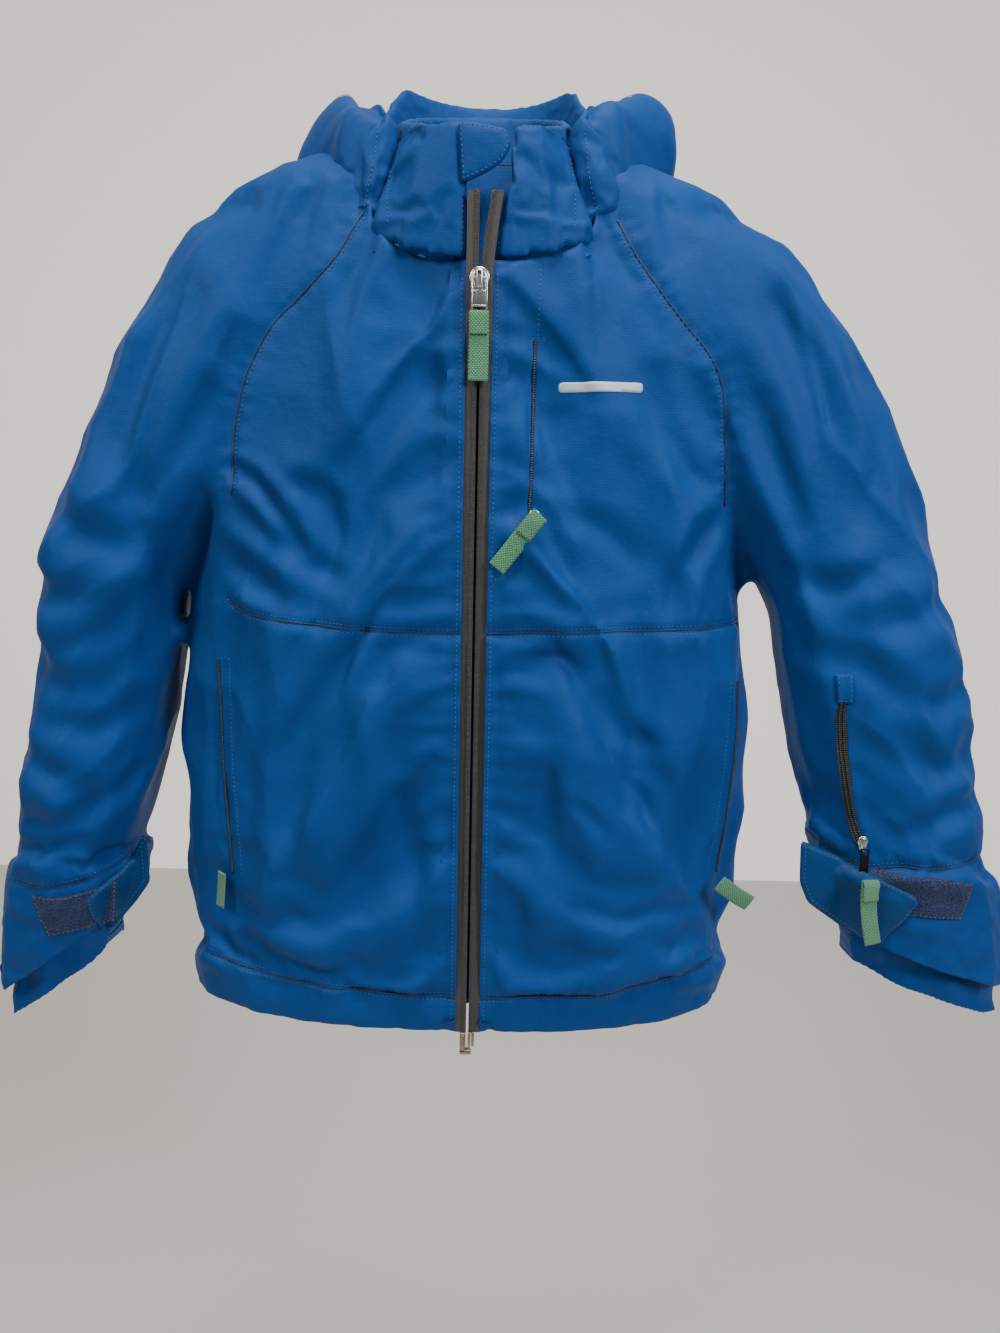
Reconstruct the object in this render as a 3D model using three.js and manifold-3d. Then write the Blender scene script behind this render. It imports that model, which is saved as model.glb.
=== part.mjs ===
// Insulated ski jacket, hanging by its collar with the front zip closed.
// +Z is up, -Y is the front and +X is the wearer's left. The origin is where a hanger's neck
// comes up through the collar, level with the top of the shoulders. Sizes are in millimetres.

import * as THREE from 'three';
import { mergeVertices } from 'three/addons/utils/BufferGeometryUtils.js';
import Module from 'manifold-3d';

const wasm = await Module();
wasm.setup();

// ---- driving dimensions ------------------------------------------------------------------

const GAP = 0.4;                       // clearance between pieces that touch
const FAR = 900;                       // reach of a cutting block
const RIGHT = -1;                      // side factors: the wearer's right is at -X
const LEFT = 1;

// depths below the outer surface where each layer of the garment starts and ends
const SHELL = [0, 1.6];
const INSULATION = [2, 8.4];
const LINING = [8.8, 10.2];
const POCKET_BAG = [10.6, 11.8];
const TAB = [-3.6, -2];                // negative depths lie on top of the shell
const PATCH = [-1.5, -0.4];

const HEM_Z = -632;                    // lowest point of the hem, at the front
const HEM_RISE = 0.12;                 // how fast the hem rises towards the back
const HEM_BAND = 31;
const YOKE_Z = -332;                   // seam across the front panels
const SIDE_SEAM_Y = 5;
const TORSO_SIDES = 18;
const TORSO_ROUNDNESS = 2.9;

// body sections: height, half widths to the right and left, depth to the front and back
const TORSO = [
  { z: HEM_Z, right: 221, left: 200, front: 93, back: 83 },
  { z: -480, right: 226, left: 213, front: 97, back: 90 },
  { z: -394, right: 226, left: 218, front: 97, back: 92 },
  { z: -324, right: 220, left: 203, front: 96, back: 92 },
  { z: -262, right: 208, left: 200, front: 95, back: 90 },
  { z: -205, right: 192, left: 190, front: 94, back: 86 },
  { z: -150, right: 178, left: 178, front: 93, back: 82 },
  { z: -100, right: 138, left: 138, front: 91, back: 74 },
  { z: -58, right: 95, left: 95, front: 84, back: 62 },
];

const SLEEVE_SIDES = 10;
const SLEEVE_ROUNDNESS = 2.3;

// sleeve sections from the neck to the cuff: the points on the outer and inner outline (x is
// measured away from the middle of the body), the depth of the centre and half the thickness
const SLEEVES = {
  [RIGHT]: [
    { outer: [52, 19], inner: [36, -118], y: -14, half: 42 },
    { outer: [141, -9], inner: [88, -165], y: -8, half: 66 },
    { outer: [212, -42], inner: [135, -205], y: -8, half: 71 },
    { outer: [264, -112], inner: [178, -236], y: -9, half: 72 },
    { outer: [298, -200], inner: [210, -262], y: -10, half: 71 },
    { outer: [326, -269], inner: [233, -290], y: -10, half: 70 },
    { outer: [330, -345], inner: [230, -345], y: -10, half: 70 },
    { outer: [340, -412], inner: [255, -405], y: -10, half: 69 },
    { outer: [357, -487], inner: [266, -480], y: -10, half: 67 },
    { outer: [367, -565], inner: [259, -522], y: -10, half: 64 },
    { outer: [375, -640], inner: [271, -567], y: -10, half: 60 },
  ],
  [LEFT]: [
    { outer: [52, 19], inner: [36, -118], y: -14, half: 42 },
    { outer: [141, -14], inner: [88, -165], y: -8, half: 66 },
    { outer: [223, -50], inner: [135, -205], y: -10, half: 70 },
    { outer: [268, -108], inner: [172, -240], y: -14, half: 68 },
    { outer: [312, -190], inner: [199, -270], y: -20, half: 62 },
    { outer: [346, -281], inner: [218, -294], y: -26, half: 56 },
    { outer: [366, -345], inner: [224, -345], y: -29, half: 52 },
    { outer: [379, -410], inner: [241, -404], y: -30, half: 51 },
    { outer: [393, -475], inner: [253, -470], y: -30, half: 51 },
    { outer: [410, -545], inner: [268, -538], y: -30, half: 51 },
    { outer: [419, -609], inner: [277, -561], y: -30, half: 52 },
  ],
};

// raglan seam, from the neck to the side of the body under the arm, then down beside it
const RAGLAN = [
  [68, 90], [84, -63], [102, -86], [137, -122], [158, -152], [170, -187],
  [174, -235], [204, -268], [214, -292], [226, -312], [228, -420], [240, -720],
];
const SIDE_SHIFT = { [RIGHT]: 0.9, [LEFT]: -5 };   // the body hangs a little off centre

// where the arms bend: pivot of the shoulder and height of the elbow
const SHOULDER = { [RIGHT]: { x: 184, z: -96 }, [LEFT]: { x: 186, z: -98 } };
const ELBOW_Z = -316;
const SHOULDER_CAP_ANGLES = [86, 8];   // rays from the pivot, above the horizontal outward ray
const ELBOW_FOLD_HALF_ANGLE = 41;
// the seam above each outer cuff, at the outer and inner side of the sleeve
const CUFF_SEAM = { [RIGHT]: [[345, -533], [252, -503]], [LEFT]: [[382, -505], [246, -490]] };
const INNER_CUFF = [13, 14.6];
const INNER_CUFF_DROP = 24;

// stand collar: lower edge at the neck seam and upper edge, both slanting up to the back
const COLLAR_BASE = { half: 74, front: -89, back: 58, zFront: -91, zBack: -4 };
const COLLAR_TOP = { half: 61, front: -90, back: 64, zFront: -8, zBack: 56 };
const COLLAR_THICK = 7;
const COLLAR_SIDES = 16;
const COLLAR_SEAM_Y = -58;

// front zip
const ZIP_HALF_GAP = 8.8;
const ZIP_Y = -93;                     // front face of the tape
const ZIP_SLOT = 0.7;                  // half the slit that the slider's neck runs in
const TAPE = { half: 8.4, thick: 0.7, top: -98, bottom: -628 };
const COIL = { half: 3.4, thick: 2.2 };
const SLIDER_TOP = -97;
const PULL_PIVOT = { y: -98.4, z: -104 };

// hood lying back on the shoulders
const HOOD = [
  { z: -66, half: 100, front: 80, back: 60 },
  { z: -40, half: 120, front: 82, back: 84 },
  { z: -8, half: 146, front: 76, back: 116 },
  { z: 24, half: 148, front: 60, back: 130 },
  { z: 52, half: 136, front: 44, back: 128 },
  { z: 76, half: 100, front: 18, back: 104 },
];
const HOOD_SIDES = 16;
const HOOD_SHELL = [0, 2.4];
const HOOD_LINING = [2.8, 4.6];
const HOOD_SEAM_X = 46;

const COLOURS = {
  blue: [0x1c56a0, 0.75, 0],
  teal: [0x1b5a86, 0.8, 0],
  grey: [0x6f7072, 0.85, 0],
  fill: [0xe6e6e2, 0.95, 0],
  tape: [0x4a4542, 0.85, 0],
  coil: [0x3a3634, 0.5, 0],
  webbing: [0x52a37c, 0.9, 0],
  loop: [0x2b2f4c, 0.95, 0],
  silver: [0xb9bbbd, 0.3, 1],
  brass: [0x8d8576, 0.4, 1],
  black: [0x161718, 0.5, 0],
  reflective: [0xc9ccd2, 0.4, 0],
};

const jacket = new THREE.Group();

// ---- solids: closed meshes that can be joined and cut -------------------------------------

function solidOf(geometry) {
  const bare = geometry.clone();
  bare.deleteAttribute('normal');
  bare.deleteAttribute('uv');
  const merged = mergeVertices(bare, 1e-4);
  return new wasm.Manifold(new wasm.Mesh({
    numProp: 3,
    vertProperties: new Float32Array(merged.attributes.position.array),
    triVerts: new Uint32Array(merged.index.array),
  }));
}

function geometryOf(solid) {
  const mesh = solid.getMesh();
  const geometry = new THREE.BufferGeometry();
  geometry.setAttribute('position', new THREE.BufferAttribute(mesh.vertProperties, 3));
  geometry.setIndex(new THREE.BufferAttribute(mesh.triVerts, 1));
  geometry.computeVertexNormals();
  return geometry;
}

// the biggest connected part of a solid: cutting curved layers can leave slivers behind
function mainPart(solid) {
  return solid.decompose().reduce((best, part) => (part.volume() > best.volume() ? part : best));
}

function add(name, solid, colour, parent = jacket) {
  const [hex, roughness, metalness] = COLOURS[colour];
  const material = new THREE.MeshStandardMaterial({ color: hex, roughness, metalness });
  const mesh = new THREE.Mesh(geometryOf(mainPart(solid)), material);
  mesh.name = name;
  parent.add(mesh);
  return mesh;
}

// a closed loft through rings of equally many points, with flat ends
function loft(rings) {
  const count = rings[0].length;
  const positions = [];
  const index = [];
  for (const ring of rings) {
    for (const p of ring) positions.push(p.x, p.y, p.z);
  }
  for (let r = 0; r + 1 < rings.length; r += 1) {
    for (let k = 0; k < count; k += 1) {
      const a = r * count + k;
      const b = r * count + ((k + 1) % count);
      index.push(a, b, b + count, a, b + count, a + count);
    }
  }
  const last = (rings.length - 1) * count;
  for (let k = 1; k + 1 < count; k += 1) {
    index.push(0, k + 1, k, last, last + k, last + k + 1);
  }
  const geometry = new THREE.BufferGeometry();
  geometry.setAttribute('position', new THREE.Float32BufferAttribute(positions, 3));
  geometry.setIndex(index);
  const solid = solidOf(geometry);
  if (solid.volume() > 0) return solid;
  for (let i = 0; i < index.length; i += 3) {
    [index[i], index[i + 1]] = [index[i + 1], index[i]];
  }
  geometry.setIndex(index);
  return solidOf(geometry);
}

// unit superellipse point: roundness 2 is a circle, higher is squarer
function roundPoint(k, count, roundness) {
  const angle = (2 * Math.PI * (k + 0.5)) / count;
  const power = 2 / roundness;
  const c = Math.cos(angle);
  const s = Math.sin(angle);
  return [Math.sign(c) * Math.abs(c) ** power, Math.sign(s) * Math.abs(s) ** power];
}

function block(low, high) {
  const geometry = new THREE.BoxGeometry(high[0] - low[0], high[1] - low[1], high[2] - low[2]);
  geometry.translate((low[0] + high[0]) / 2, (low[1] + high[1]) / 2, (low[2] + high[2]) / 2);
  return solidOf(geometry);
}

const X = new THREE.Vector3(1, 0, 0);
const Y = new THREE.Vector3(0, 1, 0);
const Z = new THREE.Vector3(0, 0, 1);

function extrude(points, depth, basis) {
  const shape = new THREE.Shape(points.map(([a, b]) => new THREE.Vector2(a, b)));
  const geometry = new THREE.ExtrudeGeometry(shape, { depth, bevelEnabled: false });
  geometry.translate(0, 0, -depth / 2);
  geometry.applyMatrix4(basis);
  return solidOf(geometry);
}

// outlines drawn in the XZ plane (seen from the front) and in the YZ plane (from the side)
const fromFront = (points, depth = FAR) =>
  extrude(points, depth, new THREE.Matrix4().makeBasis(X, Z, Y.clone().negate()));
const fromSide = (points, width = 2 * FAR) =>
  extrude(points, width, new THREE.Matrix4().makeBasis(Y, Z, X));

// ---- the garment's volumes at a depth below the outer surface ------------------------------

function torsoRing(section, inset, z = section.z) {
  return Array.from({ length: TORSO_SIDES }, (_, k) => {
    const [u, v] = roundPoint(k, TORSO_SIDES, TORSO_ROUNDNESS);
    const halfX = (u < 0 ? section.right : section.left) - inset;
    const halfY = (v < 0 ? section.front : section.back) - inset;
    return new THREE.Vector3(u * halfX, v * halfY, z);
  });
}

// volumes below the surface run on past the open ends, so that each layer is open there
function torsoVolume(inset) {
  const rings = TORSO.map((section) => torsoRing(section, inset));
  if (inset > 0) {
    const top = TORSO[TORSO.length - 1];
    rings.unshift(torsoRing(TORSO[0], inset, HEM_Z - 20));
    rings.push(torsoRing(top, inset, top.z + 15));
  }
  return loft(rings);
}

function sleeveRing(side, section, inset) {
  const outer = new THREE.Vector3(side * section.outer[0], section.y, section.outer[1]);
  const inner = new THREE.Vector3(side * section.inner[0], section.y, section.inner[1]);
  const centre = outer.clone().add(inner).divideScalar(2);
  const across = outer.clone().sub(inner).normalize();
  const half = outer.distanceTo(inner) / 2 - inset;
  return Array.from({ length: SLEEVE_SIDES }, (_, k) => {
    const [u, v] = roundPoint(k, SLEEVE_SIDES, SLEEVE_ROUNDNESS);
    return centre.clone().addScaledVector(across, u * half).addScaledVector(Y, v * (section.half - inset));
  });
}

function sleeveAlong(side) {
  const sections = SLEEVES[side];
  const [before, last] = sections.slice(-2);
  const middle = (s) => [(s.outer[0] + s.inner[0]) / 2, (s.outer[1] + s.inner[1]) / 2];
  const [x0, z0] = middle(before);
  const [x1, z1] = middle(last);
  return new THREE.Vector3(side * (x1 - x0), 0, z1 - z0).normalize();
}

function sleeveVolume(side, inset, drop = 20) {
  const rings = SLEEVES[side].map((section) => sleeveRing(side, section, inset));
  if (inset > 0) {
    const step = sleeveAlong(side).multiplyScalar(drop);
    rings.push(rings[rings.length - 1].map((p) => p.clone().add(step)));
    rings.unshift(rings[0].map((p) => p.clone().addScaledVector(X, -side * 10)));
  }
  return loft(rings);
}

const cached = new Map();
function jacketVolume(inset) {
  if (!cached.has(inset)) {
    cached.set(inset, torsoVolume(inset).add(sleeveVolume(RIGHT, inset)).add(sleeveVolume(LEFT, inset)));
  }
  return cached.get(inset);
}

function collarRing(edge, outset, lift = 0) {
  const middle = (edge.front + edge.back) / 2;
  const halfY = (edge.back - edge.front) / 2;
  const slant = (edge.zBack - edge.zFront) / (edge.back - edge.front);
  return Array.from({ length: COLLAR_SIDES }, (_, k) => {
    const [u, v] = roundPoint(k, COLLAR_SIDES, 2.4);
    const y = middle + v * (halfY + outset);
    return new THREE.Vector3(u * (edge.half + outset), y, edge.zFront + (y - edge.front) * slant + lift);
  });
}

function collarVolume(outset, below = 0, above = 0) {
  const rings = [collarRing(COLLAR_BASE, outset), collarRing(COLLAR_TOP, outset)];
  if (below > 0) rings.unshift(collarRing(COLLAR_BASE, outset, -below));
  if (above > 0) rings.push(collarRing(COLLAR_TOP, outset, above));
  return loft(rings);
}

// everything above the neck seam, reaching out past the front so that no shell is left there
function neckOpening() {
  const { half, front, back, zFront, zBack } = COLLAR_BASE;
  const slant = (zBack - zFront) / (back - front);
  const [forward, around] = [15, 3];
  const wide = {
    half: half + around, front: front - forward, back: back + around,
    zFront: zFront - forward * slant - GAP, zBack: zBack + around * slant - GAP,
  };
  return loft([collarRing(wide, 0), collarRing(wide, 0, 160)]);
}

const neck = neckOpening().add(collarVolume(-COLLAR_THICK, 40, 90));
const zipOpening = fromFront([
  [-ZIP_HALF_GAP, HEM_Z - 40], [ZIP_HALF_GAP, HEM_Z - 40], [ZIP_HALF_GAP, -99], [24, 20], [-ZIP_HALF_GAP, 20],
]).intersect(block([-60, -200, -FAR], [60, -30, FAR]));

// ---- cutting outlines ---------------------------------------------------------------------

const mirrored = (side, points) => points.map(([x, z]) => [side * x, z]);

// the raglan sleeve's side of the raglan seam, moved outward by shift
function raglanRegion(side, shift) {
  const inner = RAGLAN.map(([x, z]) => [x + shift + (z < -240 ? SIDE_SHIFT[side] : 0), z]);
  return fromFront(mirrored(side, [...inner, [FAR, -720], [FAR, 90]]));
}

function ray(pivot, degrees, reach = FAR) {
  const angle = THREE.MathUtils.degToRad(degrees);
  return [pivot[0] + reach * Math.cos(angle), pivot[1] + reach * Math.sin(angle)];
}

function apex(pivot, degrees) {
  return ray(pivot, degrees, 1.2 * GAP);
}

// three regions that share the shoulder pivot: what stays, the cap that folds, what swings
function shoulderRegions(side) {
  const { x, z } = SHOULDER[side];
  const [up, out] = SHOULDER_CAP_ANGLES;
  const armpit = RAGLAN.slice(7).map(([px, pz]) => [px + SIDE_SHIFT[side], pz]);
  const cap = fromFront(mirrored(side,
    [apex([x, z], (up + out) / 2), ray([x, z], out + 0.3), ray([x, z], up - 0.3)]));
  const swings = fromFront(mirrored(side, [
    apex([x, z], -35), ...armpit.map(([px, pz]) => [px + GAP / 2, pz]), [FAR, -720], ray([x, z], out - 0.3),
  ]));
  const stays = fromFront(mirrored(side, [
    apex([x, z], 180), ray([x, z], up + 0.3), [0, FAR], [0, -720],
    ...armpit.map(([px, pz]) => [px - GAP / 2, pz]).reverse(),
  ]));
  return { cap, swings, stays };
}

// three regions that share the elbow pivot, seen from the side
function elbowRegions(side) {
  const pivot = [elbowY(side), ELBOW_Z];
  const half = ELBOW_FOLD_HALF_ANGLE;
  const end = 2 * FAR;
  const above = fromSide([apex(pivot, 70), ray(pivot, 180 - half), [-end, end], [end, end], ray(pivot, 0.2)]);
  const below = fromSide(
    [apex(pivot, -70), ray(pivot, -0.2), [end, -end], [-end, -end], ray(pivot, 180 + half)]);
  const fold = fromSide([apex(pivot, 180), ray(pivot, 180 + half - 0.6), ray(pivot, 180 - half + 0.6)]);
  return { above, below, fold };
}

function elbowY(side) {
  return side === RIGHT ? -12 : -30;
}

function hemRegion(lift) {
  const at = (y) => HEM_Z + (y + 92) * HEM_RISE + lift;
  return fromSide([[-FAR, at(-FAR)], [FAR, at(FAR)], [FAR, -3 * FAR], [-FAR, -3 * FAR]]);
}

// everything on the cuff's side of a line across the sleeve, with the line moved up
function beyond(side, [outer, inner], up) {
  const dx = outer[0] - inner[0];
  const dz = outer[1] - inner[1];
  return fromFront(mirrored(side, [
    [outer[0] + 2 * dx, outer[1] + 2 * dz + up], [outer[0] + 2 * dx, -FAR],
    [inner[0] - dx / 2, -FAR], [inner[0] - dx / 2, inner[1] - dz / 2 + up],
  ]));
}

// ---- zips that are not the front zip: each lies in its own slot -----------------------------

// a frame on the surface: z runs along the zip, -y faces out of the cloth
function surfaceFrame(low, high, outward) {
  const along = high.clone().sub(low).normalize();
  const back = outward.clone().negate();
  back.addScaledVector(along, -back.dot(along)).normalize();
  const across = new THREE.Vector3().crossVectors(back, along).normalize();
  const group = new THREE.Group();
  group.applyMatrix4(new THREE.Matrix4().makeBasis(across, back, along).setPosition(low));
  group.updateMatrixWorld(true);
  jacket.add(group);
  return group;
}

// depth of the body's front surface at a place seen from the front
function onTorso(x, z) {
  const next = TORSO.findIndex((section) => section.z >= z);
  const [a, b] = [TORSO[next - 1], TORSO[next]];
  const t = (z - a.z) / (b.z - a.z);
  const mix = (key) => a[key] + (b[key] - a[key]) * t;
  const u = Math.abs(x) / mix(x < 0 ? 'right' : 'left');
  return new THREE.Vector3(x, -mix('front') * (1 - u ** TORSO_ROUNDNESS) ** (1 / TORSO_ROUNDNESS), z);
}

// the same on a sleeve: steps along the sections until one passes through the place
function onSleeve(side, x, z) {
  const sections = SLEEVES[side];
  let best = { miss: Infinity };
  for (let t = 1; t <= sections.length - 1.001; t += 0.01) {
    const [a, b, f] = [sections[Math.floor(t)], sections[Math.floor(t) + 1], t % 1];
    const at = (key, i) => a[key][i] + (b[key][i] - a[key][i]) * f;
    const outer = new THREE.Vector2(side * at('outer', 0), at('outer', 1));
    const inner = new THREE.Vector2(side * at('inner', 0), at('inner', 1));
    const across = outer.clone().sub(inner);
    const from = new THREE.Vector2(x, z).sub(inner);
    const miss = Math.abs(from.cross(across)) / across.length();
    if (miss < best.miss) {
      const u = Math.abs((2 * from.dot(across)) / across.lengthSq() - 1);
      const half = a.half + (b.half - a.half) * f;
      const depth = half * (1 - u ** SLEEVE_ROUNDNESS) ** (1 / SLEEVE_ROUNDNESS);
      best = { miss, y: a.y + (b.y - a.y) * f - depth };
    }
  }
  return new THREE.Vector3(x, best.y, z);
}

// sunk is how deep the zip lies below the surface, swing is how far its pull hangs aside and
// lean is how far the pull stands off where it lies on something
const POCKETS = {
  chest: {
    low: onTorso(41.5, -262), high: onTorso(41.5, -141), outward: [0.04, -1, 0], sunk: 0.6,
    slider: 'silver', swing: 38, webbing: [11, 40],
  },
  sleeve_pocket: {
    low: onSleeve(LEFT, 290, -490), high: onSleeve(LEFT, 264, -383), outward: [-0.36, -1, 0], sunk: 0.6,
    slider: 'silver', swing: 9, lean: 6, grip: 26, webbing: [9, 46],
  },
  hand_right: {
    low: onTorso(-181, -522), high: onTorso(-189, -366), outward: [-0.7, -1, 0], sunk: 1.2,
    swing: 12, webbing: [9, 32],
  },
  hand_left: {
    low: onTorso(178, -528), high: onTorso(186, -372), outward: [0.7, -1, 0], sunk: 1.2,
    swing: -53, webbing: [9, 36],
  },
};
const POCKET_TAPE = { half: 4.6, thick: 1.4 };
const POCKET_SLOT = 5.4;

for (const pocket of Object.values(POCKETS)) {
  const outward = new THREE.Vector3(...pocket.outward).normalize();
  pocket.low.addScaledVector(outward, -pocket.sunk);
  pocket.high.addScaledVector(outward, -pocket.sunk);
  pocket.frame = surfaceFrame(pocket.low, pocket.high, outward);
  pocket.length = pocket.low.distanceTo(pocket.high);
}

function placed(solid, frame) {
  return solid.transform(frame.matrixWorld.elements);
}

const slots = Object.values(POCKETS)
  .map((p) => placed(
    block([-POCKET_SLOT, -9, -GAP], [POCKET_SLOT, POCKET_TAPE.thick + GAP, p.length + GAP]), p.frame))
  .reduce((all, slot) => all.add(slot));

const RING_Z = 6;                      // height of a slider's ring above the closed end

// a flat pull threaded on the slider's ring, hanging from it
function threadedPull(halfWidth, top, bottom, window, thick) {
  return block([-halfWidth, -4.1 - thick / 2, bottom], [halfWidth, -4.1 + thick / 2, top])
    .subtract(block([-window, -9, top - 6.4], [window, 9, top - 1]));
}

function addPocketZip(name, pocket) {
  const { frame, length, webbing, grip, swing, slider, lean = 0 } = pocket;
  const { half, thick } = POCKET_TAPE;
  const width = webbing[0] / 2;
  const turn = THREE.MathUtils.degToRad(swing);
  add(`${name}_zip`, block([-half, 0, 0], [half, thick, length]), 'coil', frame);
  if (!slider) {
    const plate = block([-4, -4.2, 1], [4, -GAP, 12]);
    const strip = block([-width, -5.4, -webbing[1]], [width, -4, 1]);
    const hung = strip.transform(new THREE.Matrix4().makeRotationY(turn).setPosition(0, 0, RING_Z).elements);
    add(`${name}_pull`, plate.add(hung), 'webbing', frame);
    return;
  }
  const plate = block([-4, -3.2, 1], [4, -GAP, 12]);
  const ring = block([-1, -5.8, 2], [1, -3.1, 10]).subtract(block([-9, -5, 3.4], [9, -3.2, 8.6]));
  add(`${name}_slider`, plate.add(ring), slider, frame);
  const hanging = new THREE.Group();
  hanging.position.set(0, 0, RING_Z);
  hanging.rotation.set(THREE.MathUtils.degToRad(-lean), turn, 0);
  frame.add(hanging);
  if (grip) add(`${name}_pull`, threadedPull(3.4, 0.5, -grip, 2.4, 0.7), 'black', hanging);
  const top = grip ? -grip - GAP : 0.5;
  const strip = grip ? block([-width, -5, top - webbing[1]], [width, -3.2, top])
    : threadedPull(width, top, top - webbing[1], width - 1, 1.4);
  add(`${name}_webbing`, strip, 'webbing', hanging);
}

// ---- body panels, sleeves and their inner layers --------------------------------------------

function layer([from, to]) {
  return jacketVolume(from).subtract(jacketVolume(to)).intersect(jacketVolume(0))
    .subtract(neck).subtract(zipOpening).subtract(hemRegion(0));
}

const sideBlocks = {
  [RIGHT]: block([-FAR, -FAR, -FAR], [-GAP / 2, FAR, FAR]),
  [LEFT]: block([GAP / 2, -FAR, -FAR], [FAR, FAR, FAR]),
};
const frontBlock = block([-FAR, -FAR, -FAR], [FAR, SIDE_SEAM_Y - GAP / 2, FAR]);
const backBlock = block([-FAR, SIDE_SEAM_Y + GAP / 2, -FAR], [FAR, FAR, FAR]);
const aboveYoke = block([-FAR, -FAR, YOKE_Z + GAP / 2], [FAR, FAR, FAR]);
const belowYoke = block([-FAR, -FAR, -FAR], [FAR, FAR, YOKE_Z - GAP / 2]);
const hemBandCut = hemRegion(HEM_BAND + GAP / 2);
const aboveHemCut = hemRegion(HEM_BAND - GAP / 2);

const regions = {};
for (const side of [RIGHT, LEFT]) {
  regions[side] = {
    ...shoulderRegions(side),
    ...elbowRegions(side),
    raglan: raglanRegion(side, GAP / 2),
    raglanWide: raglanRegion(side, -GAP / 2),
    cuff: beyond(side, CUFF_SEAM[side], -GAP / 2),
    cuffWide: beyond(side, CUFF_SEAM[side], GAP / 2),
  };
}
const bothRaglans = regions[RIGHT].raglanWide.add(regions[LEFT].raglanWide);

function splitSleeve(cloth, side) {
  const r = regions[side];
  const arm = cloth.intersect(r.raglan).intersect(r.swings);
  return {
    shoulder: cloth.intersect(r.raglan).intersect(r.stays),
    cap: cloth.intersect(r.raglan).intersect(r.cap),
    upper: arm.intersect(r.above),
    fold: arm.intersect(r.fold),
    lower: arm.intersect(r.below),
  };
}

const sideName = (side) => (side === RIGHT ? 'right' : 'left');

function addShell() {
  const cloth = layer(SHELL).subtract(slots);
  const body = cloth.subtract(bothRaglans);
  for (const side of [RIGHT, LEFT]) {
    const name = sideName(side);
    const front = body.intersect(frontBlock).intersect(sideBlocks[side]);
    const panels = front.subtract(hemBandCut);
    add(`front_${name}_upper`, panels.intersect(aboveYoke), 'blue');
    add(`front_${name}_lower`, panels.intersect(belowYoke), 'blue');
    const sleeve = splitSleeve(cloth, side);
    add(`shoulder_${name}`, sleeve.shoulder, 'blue');
    add(`shoulder_cap_${name}`, sleeve.cap, 'blue');
    add(`sleeve_upper_${name}`, sleeve.upper, 'blue');
    add(`elbow_fold_${name}`, sleeve.fold, 'blue');
    add(`sleeve_lower_${name}`, sleeve.lower.subtract(regions[side].cuffWide), 'blue');
    add(`cuff_${name}`, sleeve.lower.intersect(regions[side].cuff), 'blue');
  }
  const back = body.intersect(backBlock);
  add('back_panel', back.subtract(hemBandCut), 'blue');
  add('hem_band', body.intersect(aboveHemCut), 'blue');
}

function addInsulation() {
  add('insulation_body', layer(INSULATION).subtract(slots).subtract(bothRaglans), 'fill');
}

function addLining() {
  const cloth = layer(LINING);
  const arms = regions[RIGHT].raglanWide.subtract(regions[RIGHT].stays)
    .add(regions[LEFT].raglanWide.subtract(regions[LEFT].stays));
  add('lining_body', cloth.subtract(arms), 'grey');
  for (const side of [RIGHT, LEFT]) {
    const sleeve = splitSleeve(cloth, side);
    add(`lining_sleeve_upper_${sideName(side)}`, sleeve.upper, 'grey');
    add(`lining_sleeve_lower_${sideName(side)}`, sleeve.lower, 'grey');
  }
}

// a piece of cloth that lies on the surface, cut out along an outline seen from the front
function frontPatch(volume, [from, to], outline, front) {
  return volume(from).subtract(volume(to)).intersect(fromFront(outline))
    .intersect(block([-FAR, -FAR, -FAR], [FAR, front, FAR]));
}

// a flat bag that hangs from a pocket's zip between the lining and the wearer
function addPocketBags() {
  const sheet = jacketVolume(POCKET_BAG[0]).subtract(jacketVolume(POCKET_BAG[1]));
  const bags = {
    chest_pocket_bag: block([24, -200, -272], [128, -30, -132]),
    hand_pocket_bag_right: block([-190, -200, -560], [-70, -30, -380]),
    hand_pocket_bag_left: block([70, -200, -566], [184, -30, -386]),
  };
  for (const [name, area] of Object.entries(bags)) add(name, sheet.intersect(area), 'grey');
}

function addReflectiveBar() {
  const outline = [[54, -163.5], [112, -163.5], [112, -172.5], [54, -172.5]];
  add('reflective_bar', frontPatch(torsoVolume, [-0.9, -0.3], outline, 0), 'reflective');
}

// the cuff under the cuff: a plain ring that shows below the outer one
function addInnerCuff(side) {
  const [from, to] = INNER_CUFF;
  const ring = sleeveVolume(side, from, INNER_CUFF_DROP)
    .subtract(sleeveVolume(side, to, INNER_CUFF_DROP + 9));
  const end = SLEEVES[side][SLEEVES[side].length - 1];
  add(`inner_cuff_${sideName(side)}`, ring.intersect(beyond(side, [end.outer, end.inner], 30)), 'blue');
}

// ---- collar, chin guard and draft flap -------------------------------------------------------

function addCollar() {
  const wall = collarVolume(0).subtract(collarVolume(-COLLAR_THICK, 20, 20)).subtract(zipOpening);
  const behind = COLLAR_SEAM_Y + GAP / 2;
  const inFront = COLLAR_SEAM_Y - GAP / 2;
  add('collar_back', wall.intersect(block([-FAR, behind, -FAR], [FAR, FAR, FAR])), 'blue');
  const front = wall.intersect(block([-FAR, -FAR, -FAR], [FAR, inFront, FAR]));
  for (const side of [RIGHT, LEFT]) {
    add(`collar_${sideName(side)}`, front.intersect(sideBlocks[side]), 'blue');
  }
}

function addChinGuard() {
  const outline = [[-12, -8], [-13, -42], [-4, -46], [10, -38], [21, -24], [21, -9]];
  add('chin_guard', fromFront(outline, 2.2).translate([0, -92.4, 0]), 'blue');
}

function addDraftFlap() {
  const outline = [[-19, -612], [14, -612], [14, -46], [-19, -46]];
  add('draft_flap', fromFront(outline, 2).translate([0, -79, 0]), 'blue');
}

// ---- front zip ---------------------------------------------------------------------------------

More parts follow.
